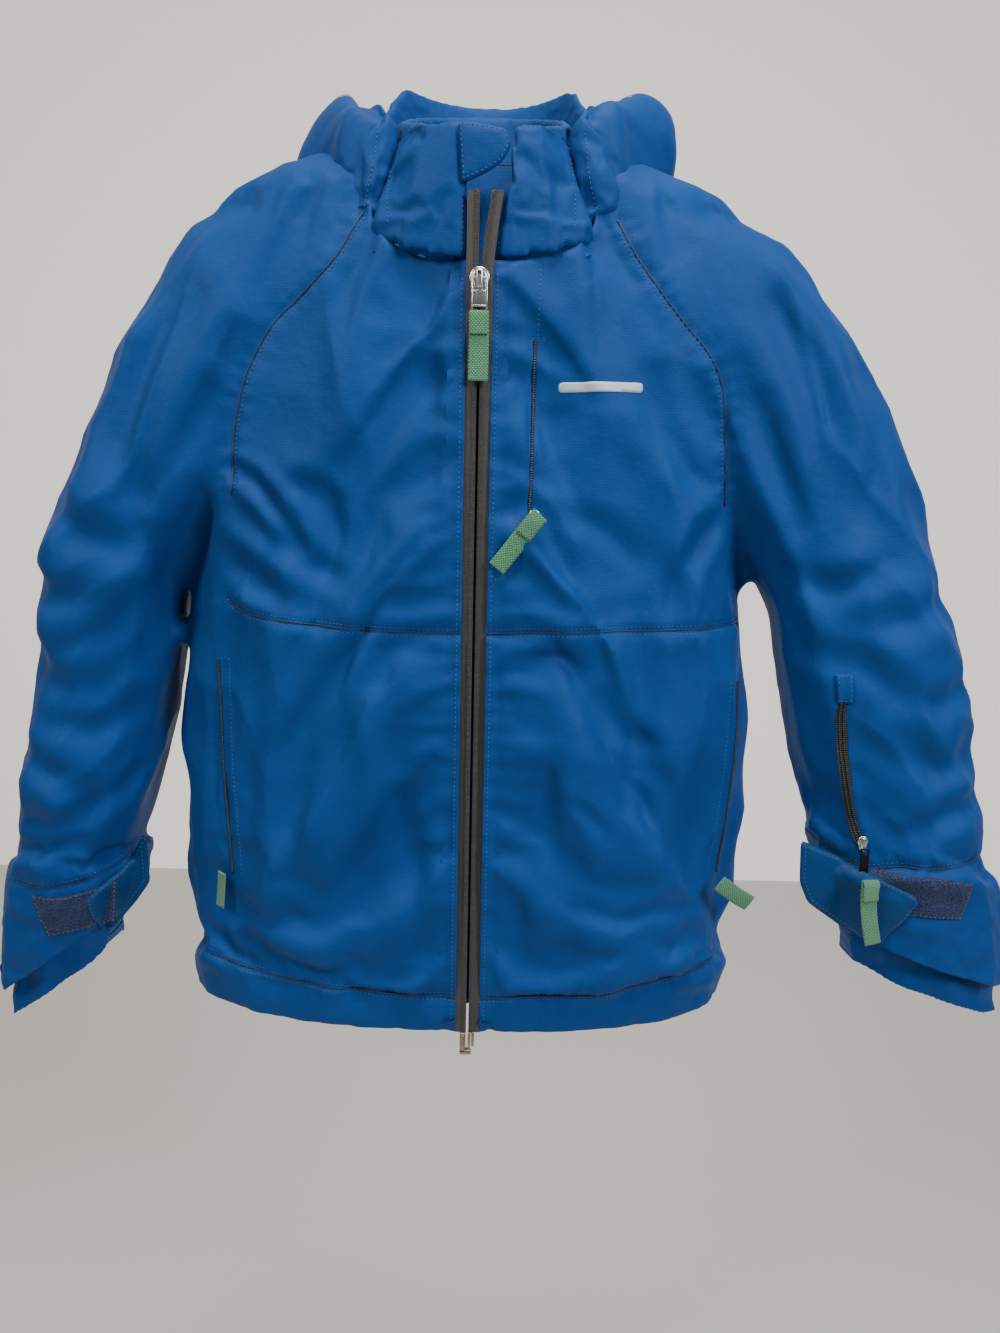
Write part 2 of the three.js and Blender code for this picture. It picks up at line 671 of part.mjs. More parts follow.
// the free half above the slider leans away, so each strip bends once at the slider
function zipStrip(side, inner, outer, yFront, thick, lean) {
  const top = [lean, -48];
  return fromFront([
    [side * inner, TAPE.bottom], [side * outer, TAPE.bottom], [side * outer, TAPE.top],
    [side * (outer + top[0]), top[1]], [side * (inner + top[0]), top[1]], [side * inner, TAPE.top],
  ], thick).translate([0, yFront + thick / 2, 0]);
}

function addFrontZip() {
  for (const side of [RIGHT, LEFT]) {
    const lean = side === LEFT ? 5.2 : 0;
    const tape = zipStrip(side, ZIP_SLOT, TAPE.half, ZIP_Y, TAPE.thick, lean);
    const coil = zipStrip(side, ZIP_SLOT, COIL.half, ZIP_Y + TAPE.thick - 0.1, COIL.thick + 0.1, lean);
    add(`zip_half_${sideName(side)}`, tape.add(coil), 'tape');
  }
  const box = block([-5, ZIP_Y - 2.4, -644], [5, ZIP_Y + 3.2, TAPE.bottom - GAP]);
  add('zip_box', box.subtract(block([-2.6, -FAR, -640], [2.6, ZIP_Y - 0.6, -632])), 'brass');
}

function addMainSlider() {
  const z = SLIDER_TOP;
  const y = ZIP_Y;
  const outline = [
    [-3.4, z + 1], [3.4, z + 1], [7, z - 5], [6, z - 13],
    [2.6, z - 18], [-2.6, z - 18], [-6, z - 13], [-7, z - 5],
  ];
  const face = fromFront(outline, 2.4).translate([0, y - GAP - 1.2, 0]);
  const rear = fromFront(outline, 1.2).translate([0, y + TAPE.thick + COIL.thick + GAP + 0.6, 0]);
  const wedge = block([-0.35, y - 1, z - 4], [0.35, y + 4, z]);
  const arch = block([-1.4, y - 7.6, z - 12], [1.4, y - 2.6, z - 2])
    .subtract(block([-9, y - 6.8, z - 10.4], [9, y - 2.9, z - 3.6]));
  add('main_slider', face.add(rear).add(wedge).add(arch), 'silver');
}

function addMainPull() {
  const { y, z } = PULL_PIVOT;
  const depth = [y - 0.8, y + 0.8];
  const frame = block([-5.2, depth[0], z - 23], [5.2, depth[1], z + 1])
    .subtract(block([-2.9, -FAR, z - 9], [2.9, FAR, z - 0.9]))
    .subtract(block([-3.8, -FAR, z - 20.6], [3.8, FAR, z - 17]));
  add('main_pull_frame', frame, 'silver');
  const top = z - 23 - GAP;
  add('main_pull_webbing', block([-6.5, y - 1.3, top - 42], [6.5, y + 1.1, top]), 'webbing');
}

// ---- cuffs: a loop patch on the cuff and a tab that closes on it --------------------------------

const CUFF_TABS = {
  [RIGHT]: {
    patch: [[324, -539], [284, -535], [284, -570], [314, -572]],
    tab: [[288, -544], [284, -580], [262, -562], [252, -512], [262, -504]],
  },
  [LEFT]: {
    patch: [[300, -506], [360, -509], [364, -515], [357, -539], [322, -536]],
    tab: [[256, -494], [286, -507], [324, -523], [327, -528], [304, -562], [282, -552], [257, -534]],
  },
};

const TAB_ROOT_Y = { [RIGHT]: -22, [LEFT]: -40 };   // where each tab is sewn down, at the inner side

function addCuffTab(side) {
  const volume = (inset) => sleeveVolume(side, inset);
  const { patch, tab } = CUFF_TABS[side];
  add(`loop_patch_${sideName(side)}`, frontPatch(volume, PATCH, mirrored(side, patch), -20), 'loop');
  add(`cuff_tab_${sideName(side)}`, frontPatch(volume, TAB, mirrored(side, tab), TAB_ROOT_Y[side]), 'teal');
}

// ---- hood ---------------------------------------------------------------------------------------

function hoodVolume(inset) {
  const ring = (section, z = section.z) => Array.from({ length: HOOD_SIDES }, (_, k) => {
    const [u, v] = roundPoint(k, HOOD_SIDES, 2.4);
    const depth = v < 0 ? section.front : section.back;
    return new THREE.Vector3(u * (section.half - inset), v * (depth - inset), z);
  });
  const rings = HOOD.map((section) => ring(section));
  if (inset > 0) {
    rings.push(ring(HOOD[HOOD.length - 1], 110));
    rings[0] = ring(HOOD[0], HOOD[0].z + inset);
  }
  const frontGap = block([-69 - inset, -FAR, -FAR], [69 + inset, -14 + inset, FAR]);
  return loft(rings).subtract(collarVolume(1.2 + inset, 30, 60)).subtract(frontGap)
    .subtract(jacketVolume(-1 - inset));
}

function addHood() {
  const centre = block([-HOOD_SEAM_X + GAP / 2, -FAR, -FAR], [HOOD_SEAM_X - GAP / 2, FAR, FAR]);
  const whole = hoodVolume(0);
  const cloth = whole.subtract(hoodVolume(HOOD_SHELL[1]));
  add('hood_center', cloth.intersect(centre), 'blue');
  for (const side of [RIGHT, LEFT]) {
    const inner = side * (HOOD_SEAM_X + GAP / 2);
    const outer = side * FAR;
    const half = block([Math.min(inner, outer), -FAR, -FAR], [Math.max(inner, outer), FAR, FAR]);
    add(`hood_${sideName(side)}`, cloth.intersect(half), 'blue');
  }
  const lining = hoodVolume(HOOD_LINING[0]).subtract(hoodVolume(HOOD_LINING[1])).intersect(whole);
  add('hood_lining', lining, 'grey');
}

addShell();
addInsulation();
addLining();
addPocketBags();
addReflectiveBar();
addCollar();
addChinGuard();
addDraftFlap();
addFrontZip();
addMainSlider();
addMainPull();
for (const [name, pocket] of Object.entries(POCKETS)) addPocketZip(name, pocket);
for (const side of [RIGHT, LEFT]) {
  addInnerCuff(side);
  addCuffTab(side);
}
addHood();

export default jacket;
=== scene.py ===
import math

import bmesh
import bpy
import numpy as np
from mathutils import Matrix, Vector, noise
from mathutils.bvhtree import BVHTree
from mathutils.geometry import delaunay_2d_cdt
from mathutils.kdtree import KDTree


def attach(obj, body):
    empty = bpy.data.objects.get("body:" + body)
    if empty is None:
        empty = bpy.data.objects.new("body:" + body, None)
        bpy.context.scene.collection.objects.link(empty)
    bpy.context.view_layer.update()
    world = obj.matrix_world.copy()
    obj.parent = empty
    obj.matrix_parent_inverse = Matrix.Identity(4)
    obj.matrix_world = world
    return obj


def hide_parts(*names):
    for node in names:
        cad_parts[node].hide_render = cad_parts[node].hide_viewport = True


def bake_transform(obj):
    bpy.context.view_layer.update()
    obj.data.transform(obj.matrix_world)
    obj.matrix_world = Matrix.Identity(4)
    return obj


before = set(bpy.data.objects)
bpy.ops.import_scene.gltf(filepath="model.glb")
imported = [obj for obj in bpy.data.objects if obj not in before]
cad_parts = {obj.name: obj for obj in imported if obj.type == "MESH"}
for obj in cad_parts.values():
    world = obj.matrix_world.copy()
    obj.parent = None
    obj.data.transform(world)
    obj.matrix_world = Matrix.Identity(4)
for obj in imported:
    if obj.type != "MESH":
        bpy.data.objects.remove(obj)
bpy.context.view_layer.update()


# ---------------------------------------------------------------- Room
# A pale wall well behind the hanging jacket and a pale floor below it, lit by a warm window on
# the left, a stronger cool one on the right and a lamp above.
ops = bpy.ops
mesh_ops = bpy.ops.mesh


def clear_selection():
    ops.object.select_all(action="DESELECT")


clear_selection()
mesh_ops.primitive_plane_add(size=14, location=(0, 2.6, 0.9), rotation=(math.radians(90), 0, 0))
wall = bpy.context.object
wall.name = "pale_wall"
mesh_ops.primitive_plane_add(size=14, location=(0, -4.4, -1.5))
floor = bpy.context.object
floor.name = "pale_floor"
for surface, tone in ((wall, (0.97, 0.945, 0.90)), (floor, (0.72, 0.70, 0.67))):
    paint = bpy.data.materials.new(surface.name + "_paint")
    paint.use_nodes = True
    shader = paint.node_tree.nodes["Principled BSDF"]
    shader.inputs["Base Color"].default_value = (*tone, 1)
    shader.inputs["Roughness"].default_value = 0.85
    if surface is wall:
        shader.inputs["Emission Color"].default_value = (1, 0.96, 0.87, 1)
        shader.inputs["Emission Strength"].default_value = 0.5
    surface.data.materials.append(paint)


def soft_light(name, place, aim, size, power, tint):
    lamp = bpy.data.lights.new(name, "AREA")
    lamp.shape, lamp.size, lamp.size_y = "RECTANGLE", *size
    lamp.energy, lamp.color = power, tint
    holder = bpy.data.objects.new(name, lamp)
    bpy.context.scene.collection.objects.link(holder)
    holder.location = place
    holder.rotation_euler = (Vector(aim) - Vector(place)).to_track_quat("-Z", "Y").to_euler()


soft_light("window_light", (-1.6, -1.5, 1.1), (0, 0, -0.3), (0.6, 0.7), 32, (1, 0.93, 0.8))
soft_light("side_light", (1.5, -1.6, 0.8), (0.05, 0, -0.35), (0.6, 0.8), 42, (0.86, 0.95, 1))
soft_light("top_light", (0.1, -0.5, 1.5), (0, 0.05, -0.1), (0.9, 0.5), 34, (1, 0.98, 0.93))
world = bpy.data.worlds.new("room_air")
world.use_nodes = True
world.node_tree.nodes["Background"].inputs[0].default_value = (0.95, 0.97, 1, 1)
world.node_tree.nodes["Background"].inputs[1].default_value = 0.13
bpy.context.scene.world = world

eye = bpy.data.cameras.new("eye")
eye.lens, eye.sensor_width = 26, 36
eye_holder = bpy.data.objects.new("eye", eye)
bpy.context.scene.collection.objects.link(eye_holder)
tilt, roll = math.radians(8), math.radians(1.2)
ahead = Vector((0, math.cos(tilt), -math.sin(tilt)))
flat_right = Vector((1, 0, 0))
flat_up = flat_right.cross(ahead)
right = flat_right * math.cos(roll) + flat_up * math.sin(roll)
up = right.cross(ahead)
turned = Matrix((right, up, -ahead)).transposed().to_4x4()
eye_holder.matrix_world = Matrix.Translation((0.0185, -0.75, -0.266)) @ turned
bpy.context.scene.camera = eye_holder


# ---------------------------------------------------------------- Blue shell cloth
# Matt ripstop nylon, a fine plain weave with a thicker thread every few millimetres. It fades
# and scuffs a little in scattered patches, and its tone wanders at random.
class Signal:
    """One socket's value, so that shader maths reads as Python sums."""

    def __init__(self, mix, socket):
        self.mix, self.socket = mix, socket

    def _sum(self, how, other, flipped=False, clamp=False):
        pair = (other, self) if flipped else (self, other)
        node = self.mix.node("ShaderNodeMath", {"operation": how, "use_clamp": clamp},
                             dict(enumerate(pair)))
        return Signal(self.mix, node.outputs[0])

    def __add__(self, other): return self._sum("ADD", other)
    def __sub__(self, other): return self._sum("SUBTRACT", other)
    def __mul__(self, other): return self._sum("MULTIPLY", other)
    def __truediv__(self, other): return self._sum("DIVIDE", other)
    def __radd__(self, other): return self._sum("ADD", other, True)
    def __rsub__(self, other): return self._sum("SUBTRACT", other, True)
    def __rmul__(self, other): return self._sum("MULTIPLY", other, True)
    def __rtruediv__(self, other): return self._sum("DIVIDE", other, True)
    def at_least(self, other): return self._sum("MAXIMUM", other)
    def power(self, other): return self._sum("POWER", other)
    def wave(self): return self._sum("SINE", 0)
    def size(self): return self._sum("ABSOLUTE", 0)
    def held(self): return self._sum("ADD", 0, clamp=True)


class Finish:
    """One material being mixed, node by node."""

    def __init__(self, name, **fixed):
        self.material = bpy.data.materials.new(name)
        self.material.use_nodes = True
        self.tree = self.material.node_tree
        self.shader = self.tree.nodes["Principled BSDF"]
        for socket, value in fixed.items():
            self.shader.inputs[socket.replace("_", " ")].default_value = value

    def node(self, kind, settings=None, sockets=None):
        made = self.tree.nodes.new(kind)
        for key, value in (settings or {}).items():
            if key == "stops":
                ramp = made.color_ramp
                while len(ramp.elements) < len(value):
                    ramp.elements.new(0.5)
                for element, (place, tone) in zip(ramp.elements, value):
                    element.position, element.color = place, (*tone, 1)
            else:
                setattr(made, key, value)
        for key, value in (sockets or {}).items():
            if isinstance(value, Signal):
                value = value.socket
            if isinstance(value, bpy.types.NodeSocket):
                self.tree.links.new(value, made.inputs[key])
            elif value is not None:
                made.inputs[key].default_value = value
        return made

    def place(self):
        return self.node("ShaderNodeTexCoord").outputs["Object"]

    def parts(self, vector):
        split = self.node("ShaderNodeSeparateXYZ", sockets={0: vector})
        return [Signal(self, s) for s in split.outputs]

    def noise(self, scale, detail=2.0, roughness=0.5, vector=None, distortion=0.0):
        node = self.node("ShaderNodeTexNoise", sockets={
            "Vector": vector or self.place(), "Scale": scale, "Detail": detail,
            "Roughness": roughness, "Distortion": distortion})
        return Signal(self, node.outputs[0])

    def blend(self, amount, first, second):
        node = self.node("ShaderNodeMix", {"data_type": "RGBA"}, {0: amount})
        for key, tone in ((6, first), (7, second)):
            if isinstance(tone, tuple):
                node.inputs[key].default_value = (*tone, 1)
            else:
                self.tree.links.new(tone, node.inputs[key])
        return node.outputs[2]

    def bump(self, height, distance, strength=1.0, under=None):
        return self.node("ShaderNodeBump", sockets={
            "Height": height, "Distance": distance, "Strength": strength,
            "Normal": under}).outputs[0]

    def give(self, socket, value):
        if isinstance(value, Signal):
            value = value.socket
        self.tree.links.new(value, self.shader.inputs[socket])


def shell_cloth(name, deep, pale, worn, roughness):
    """Blue ripstop, with its thread grid following the panel's own x and z."""
    mixed = Finish(name, Sheen_Weight=0.02, Sheen_Roughness=0.5, Specular_IOR_Level=0.16)
    x, y, z = mixed.parts(mixed.place())
    girth = x + y * 0.8
    thread = 2 * math.pi / 0.0011
    grid = 2 * math.pi / 0.0052
    weave = (girth * thread).wave() * 0.35 + (z * thread * 1.0).wave() * 0.65
    ripstop = (girth * grid).wave().at_least(0.93) + (z * grid).wave().at_least(0.93)
    slub = mixed.noise(420, 3, 0.6)
    broad = mixed.noise(9, 4, 0.55)
    mottle = mixed.noise(46, 4, 0.6, distortion=0.4)
    rubbed = (mixed.noise(130, 5, 0.7) - 0.62).held() * 3.2
    tone = mixed.blend((broad * 0.9 + mottle * 0.35 - 0.15).held(), deep, pale)
    tone = mixed.blend((rubbed * 0.35).held(), tone, worn)
    tone = mixed.blend(((weave + 1.0) * 0.09).held(), tone, tuple(c * 0.55 for c in deep))
    mixed.give("Base Color", tone)
    mixed.give("Roughness", (mottle * 0.16 + rubbed * 0.1 + (roughness - 0.08)).held())
    relief = weave * 0.25 + ripstop * 1.1 + slub * 0.5
    fine = mixed.bump(relief, 0.00022, 0.55)
    mixed.give("Normal", mixed.bump(mixed.noise(75, 4, 0.6), 0.0022, 0.35, fine))
    return mixed.material


shell_blue = shell_cloth("shell_blue", (0.0006, 0.038, 0.18), (0.0018, 0.07, 0.285),
                         (0.012, 0.12, 0.38), 0.6)


# ---------------------------------------------------------------- Body and sleeves
# Quilted shell of the body and both sleeves: nylon over soft filling, cut in panels and sewn.
# The envelope of all the panels is crumpled as one cloth, creased along listed lines and parted at
# its seams.
SEWN_NODES = [
    "front_right_upper", "front_left_upper", "front_right_lower", "front_left_lower",
    "back_panel", "hem_band", "shoulder_right", "shoulder_left",
    "shoulder_cap_right", "shoulder_cap_left", "sleeve_upper_right", "sleeve_upper_left",
    "elbow_fold_right", "elbow_fold_left", "sleeve_lower_right", "sleeve_lower_left",
    "cuff_right", "cuff_left",
]


def cad_mesh(*names):
    """A merged bmesh copy of CAD nodes."""
    made = bmesh.new()
    for name in names:
        made.from_mesh(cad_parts[name].data)
    bmesh.ops.remove_doubles(made, verts=made.verts, dist=1e-5)
    return made


def new_piece(name, bm=None, material=None, smooth=True):
    mesh = bpy.data.meshes.new(name)
    if bm is not None:
        bm.to_mesh(mesh)
        bm.free()
    piece = bpy.data.objects.new(name, mesh)
    bpy.context.scene.collection.objects.link(piece)
    if material:
        mesh.materials.append(material)
    if smooth:
        for polygon in mesh.polygons:
            polygon.use_smooth = True
    return piece


def belongs(piece, body, slot, *stands_for):
    """Which body a piece rides, and the CAD nodes it stands for; the slot argument is not used."""
    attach(piece, body)
    if stands_for:
        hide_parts(*stands_for)


def apply_modifier(piece, kind, **settings):
    clear_selection()
    bpy.context.view_layer.objects.active = piece
    piece.select_set(True)
    added = piece.modifiers.new(kind.title(), kind)
    for key, value in settings.items():
        setattr(added, key, value)
    ops.object.modifier_apply(modifier=added.name)


def points_of(piece):
    flat = np.empty(len(piece.data.vertices) * 3)
    piece.data.vertices.foreach_get("co", flat)
    return flat.reshape(-1, 3)


def set_points(piece, points):
    piece.data.vertices.foreach_set("co", np.asarray(points, float).ravel())
    piece.data.update()


def normals_of(piece):
    flat = np.empty(len(piece.data.vertices) * 3)
    piece.data.vertices.foreach_get("normal", flat)
    return flat.reshape(-1, 3)


FILLED = [
    ["front_right_upper", "front_left_upper"], ["front_right_lower", "front_left_lower"],
    ["shoulder_right", "shoulder_cap_right"], ["shoulder_left", "shoulder_cap_left"],
] + [[name] for name in SEWN_NODES if not name.startswith(("front", "shoulder"))]
whole = bmesh.new()
for group in FILLED:
    part = cad_mesh(*group)
    hull = bmesh.ops.convex_hull(part, input=part.verts)
    unused = [v for v in part.verts if not v.link_faces]
    inside = [g for g in hull["geom_interior"] if isinstance(g, bmesh.types.BMVert)]
    bmesh.ops.delete(part, geom=list(set(inside + unused)), context="VERTS")
    old = [f for f in part.faces if f not in hull["geom"]]
    bmesh.ops.delete(part, geom=old, context="FACES_ONLY")
    held = bpy.data.meshes.new("hull")
    part.to_mesh(held)
    part.free()
    whole.from_mesh(held)
    bpy.data.meshes.remove(held)
bmesh.ops.recalc_face_normals(whole, faces=whole.faces)
envelope = new_piece("envelope", whole)
apply_modifier(envelope, "REMESH", mode="VOXEL", voxel_size=0.006)
apply_modifier(envelope, "SMOOTH", factor=0.5, iterations=6)

# The seams, each as the line it follows seen from the front, in millimetres of x and z.
SEAMS = {
    "raglan_right": [(-81, -55), (-100, -88), (-124, -112), (-143, -130), (-160, -160),
                     (-168, -188), (-171, -208), (-171, -245)],
    "raglan_left": [(92, -55), (107, -82), (133, -117), (156, -142), (168, -166), (173, -205),
                    (176, -245)],
    "yoke_right": [(-176, -318), (-160, -326), (-139, -330), (-90, -334), (-40, -336), (-9, -336)],
    "yoke_left": [(9, -336), (50, -334), (110, -333), (164, -331), (196, -329)],
    "hem_right": [(-221, -578), (-200, -584), (-150, -592), (-90, -598), (-9, -602)],
    "hem_left": [(9, -602), (90, -598), (150, -590), (190, -582), (214, -574)],
    "cuff_right": [(-352, -529), (-339, -531), (-307, -533), (-271, -524), (-252, -503),
                   (-245, -492)],
    "cuff_left": [(240, -478), (246, -483), (286, -505), (315, -503), (344, -502), (381, -500),
                  (394, -498)],
}


def closer(line, step=0.0015):
    """Points a step apart along a smooth line through the given points."""
    line = np.array(line, float)
    if np.abs(line).max() > 5:
        line = line / 1000
    before = 2 * line[0] - line[1]
    after = 2 * line[-1] - line[-2]
    ends = np.vstack([before, line, after])
    out = []
    for a, b, c, d in zip(ends, ends[1:], ends[2:], ends[3:]):
        for t in np.linspace(0, 1, max(2, int(np.linalg.norm(c - b) / step)), endpoint=False):
            out.append(0.5 * (2 * b + (c - a) * t + (2 * a - 5 * b + 4 * c - d) * t * t
                              + (3 * b - a - 3 * c + d) * t ** 3))
    out.append(line[-1])
    return np.array(out)


def surface_tree(*pieces):
    bm = bmesh.new()
    for piece in pieces:
        bm.from_mesh(piece.data)
    tree = BVHTree.FromBMesh(bm)
    bm.free()
    return tree


def on_cloth(tree, flat_points, back=False):
    """Where x, z points land on the cloth from the front, or from the back, with its normals."""
    found = []
    for x, z in flat_points:
        start, way = ((x, 0.5, z), (0, -1, 0)) if back else ((x, -0.5, z), (0, 1, 0))
        hit, normal, _, _ = tree.ray_cast(start, way)
        if hit is not None:
            found.append((hit, normal))
    return found


def crumple_as_cloth(piece, start, weights, furthest, frames, gravity, **settings):
    """Puffs and crumples a piece as cloth held by weights, moving no point further than given."""
    group = piece.vertex_groups.new(name="held")
    for index, weight in enumerate(weights):
        group.add([index], float(weight), "REPLACE")
    cloth = piece.modifiers.new("Cloth", "CLOTH")
    cloth.settings.vertex_group_mass = "held"
    cloth.settings.use_pressure = True
    for key, value in settings.items():
        setattr(cloth.settings, key, value)
    cloth.settings.effector_weights.gravity = gravity
    cloth.collision_settings.use_collision = False
    cloth.point_cache.frame_start, cloth.point_cache.frame_end = 1, frames
    for number in range(1, frames + 1):
        bpy.context.scene.frame_set(number)
    bpy.context.view_layer.update()
    clear_selection()
    bpy.context.view_layer.objects.active = piece
    piece.select_set(True)
    ops.object.modifier_apply(modifier=cloth.name)
    bpy.context.scene.frame_set(1)
    moved = points_of(piece) - start
    lengths = np.linalg.norm(moved, axis=1)
    moved *= (np.minimum(lengths, furthest) / np.maximum(lengths, 1e-9))[:, None]
    set_points(piece, start + moved)


rest_points = points_of(envelope).copy()
tree = surface_tree(envelope)
held_lines = KDTree(40000)
seam_count = 0
for name, line in SEAMS.items():
    for back in (False, True):
        if back and name.startswith("yoke"):
            continue
        for spot, _ in on_cloth(tree, closer(line, 0.003), back):
            held_lines.insert(spot, seam_count)
            seam_count += 1
held_lines.balance()
x, y, z = rest_points.T
hold = np.full(len(x), 0.006)
seam_gap = np.array([held_lines.find(p)[2] for p in rest_points])
hold = np.maximum(hold, 0.25 * np.exp(-(seam_gap / 0.006) ** 2))
hold = np.maximum(hold, 0.9 * ((np.abs(x) < 0.013) & (y < -0.04)))
hold = np.maximum(hold, np.clip((-0.598 - z) / 0.015, 0, 0.55) * (np.abs(x) < 0.24))
hold = np.maximum(hold, np.clip((z + 0.045) / 0.03, 0, 0.9))
cuffs = (np.abs(x) > 0.24) & (z < -0.5)
hold = np.maximum(hold, 0.35 * cuffs * np.clip((-0.5 - z) / 0.03, 0, 1))
crumple_as_cloth(
    envelope, rest_points, hold, furthest=0.0085, frames=26, gravity=0.12, quality=6, mass=0.25,
    tension_stiffness=18, compression_stiffness=18, shear_stiffness=8, bending_stiffness=1.2,
    tension_damping=3, compression_damping=3, air_damping=2, pin_stiffness=1,
    shrink_min=-0.07, shrink_max=-0.07, uniform_pressure_force=0.6)
apply_modifier(envelope, "SMOOTH", factor=0.5, iterations=1)

# The lining is the same cloth, taken 11.5 mm in while the mesh is still coarse.
inner_points = points_of(envelope) - normals_of(envelope) * 0.0115
lining_whole = bmesh.new()
lining_whole.from_mesh(envelope.data)
for vertex, place in zip(lining_whole.verts, inner_points):
    vertex.co = place
bmesh.ops.smooth_vert(lining_whole, verts=lining_whole.verts, factor=0.5, use_axis_x=True,
                      use_axis_y=True, use_axis_z=True)
bmesh.ops.reverse_faces(lining_whole, faces=lining_whole.faces)

apply_modifier(envelope, "SUBSURF", levels=1, render_levels=1)

# Creases pressed into the cloth: a line, its depth and its half width in millimetres,
# and whether it is on the back. A crease sinks along its line and stands proud on both sides.
CREASES = [
    # from the right armpit, towards the chest and the side
    ([(-170, -226), (-154, -236), (-138, -254), (-120, -278)], 5.5, 6),
    ([(-166, -256), (-150, -268), (-112, -292), (-92, -304)], 4.0, 9),
    ([(-172, -290), (-148, -306), (-126, -320)], 5.0, 10),
    ([(-120, -236), (-104, -246), (-96, -270), (-100, -296)], 4.2, 8),
    # from the left armpit
    ([(174, -232), (152, -226), (126, -196), (116, -160)], 4.0, 11),
    ([(176, -250), (158, -268), (142, -300), (138, -326)], 5.0, 9),
    ([(60, -256), (86, -262), (112, -284)], 3.0, 9),
    # long soft folds down the right front
    ([(-36, -104), (-32, -160), (-34, -214), (-40, -250)], 3.2, 10),
    ([(-62, -350), (-58, -410), (-50, -470), (-34, -540), (-26, -590)], 3.6, 12),
    ([(-112, -352), (-118, -420), (-126, -480), (-122, -540)], 3.0, 13),
    ([(-150, -372), (-158, -430), (-160, -500)], 3.0, 11),
    ([(-96, -250), (-108, -300), (-112, -326)], 3.0, 9),
    # left front
    ([(64, -352), (56, -400), (46, -470), (30, -540)], 3.0, 12),
    ([(112, -344), (120, -380), (116, -430)], 3.4, 9),
    ([(92, -380), (106, -404), (132, -416)], 3.0, 8),
    ([(150, -350), (158, -410), (164, -470), (160, -540)], 3.2, 12),
    ([(40, -318), (70, -322), (120, -318)], 1.8, 8),
    ([(72, -452), (84, -462), (96, -478)], 2.4, 5),
    ([(110, -440), (122, -452), (126, -470)], 2.4, 5),
    # right sleeve: long folds from the shoulder, then short slanting ones down to the cuff
    ([(-196, -112), (-222, -150), (-238, -206), (-232, -262)], 5.5, 13),
    ([(-246, -150), (-258, -196), (-244, -244)], 4.0, 12),
    ([(-186, -176), (-204, -214), (-222, -250)], 4.4, 9),
    ([(-300, -246), (-284, -268), (-250, -282), (-230, -276)], 4.0, 12),
    ([(-322, -300), (-302, -318), (-270, -322)], 4.4, 12),
    ([(-240, -318), (-262, -340), (-292, -352)], 4.0, 10),
    ([(-326, -360), (-296, -384), (-262, -384)], 3.6, 12),
    ([(-244, -398), (-270, -412), (-306, -408)], 4.4, 11),
    ([(-340, -436), (-306, -446), (-280, -462)], 3.8, 11),
    ([(-252, -452), (-274, -470), (-304, -486), (-336, -484)], 4.4, 9),
    ([(-346, -504), (-318, -504), (-290, -496)], 3.4, 7),
    # left sleeve
    ([(206, -112), (232, -154), (246, -214), (236, -270)], 5.5, 13),
    ([(262, -160), (276, -214), (262, -262)], 3.8, 12),
    ([(194, -176), (210, -220), (226, -256)], 4.2, 9),
    ([(222, -292), (252, -300), (286, -284)], 4.4, 10),
    ([(348, -296), (320, -318), (280, -326)], 4.2, 12),
    ([(236, -344), (268, -352), (300, -370)], 4.2, 11),
    ([(364, -366), (336, -380), (306, -376)], 4.0, 11),
    ([(306, -414), (338, -428), (366, -420)], 4.2, 11),
    ([(386, -452), (352, -460), (316, -478)], 4.0, 10),
]


def press_creases(points, normals, creases, back):
    tree = surface_tree(envelope)
    shift = np.zeros(len(points))
    for line, depth, width in creases:
        track = on_cloth(tree, closer(line, 0.003), back)
        if len(track) < 3:
            continue
        path = KDTree(len(track))
        for number, (spot, _) in enumerate(track):
            path.insert(spot, number)
        path.balance()
        low = np.min([t[0] for t in track], axis=0) - 0.045
        high = np.max([t[0] for t in track], axis=0) + 0.045
        near = np.where(((points > low) & (points < high)).all(axis=1))[0]
        for index in near:
            _, number, gap = path.find(points[index])
            ratio = gap * 1000 / width
            if ratio > 3.4:
                continue
            along = number / (len(track) - 1)
            fade = math.sin(math.pi * min(1, max(0, 0.08 + 0.84 * along))) ** 0.6
            shift[index] += fade * depth * (-math.exp(-ratio * ratio)
                                            + 0.4 * math.exp(-((ratio - 1.7) ** 2)))
    return points + normals * (shift / 1000)[:, None]


shaped, facing = points_of(envelope), normals_of(envelope)


def crumple(spot):
    """How far the stuffed cloth stands in or out at a place: broad planes that meet in ridges."""
    x, y, z = spot
    arm = max(0, min(1, (abs(x) - 0.19) / 0.05))
    side = 1 if x > 0 else -1
    slant = Vector((x, y, z + 0.35 * side * x * (1 - arm) + 0.9 * side * x * arm))
    broad = Vector((slant.x * (13 - 4 * arm), slant.y * 11, slant.z * (5 + 7 * arm)))
    small = Vector((slant.x * (22 - 4 * arm), slant.y * 18, slant.z * (13 + 6 * arm))) + Vector((7,
        3, 5))
    return 0.5 - 2.3 * abs(noise.noise(broad)) + 0.55 * (0.45 - 2.2 * abs(noise.noise(small)))


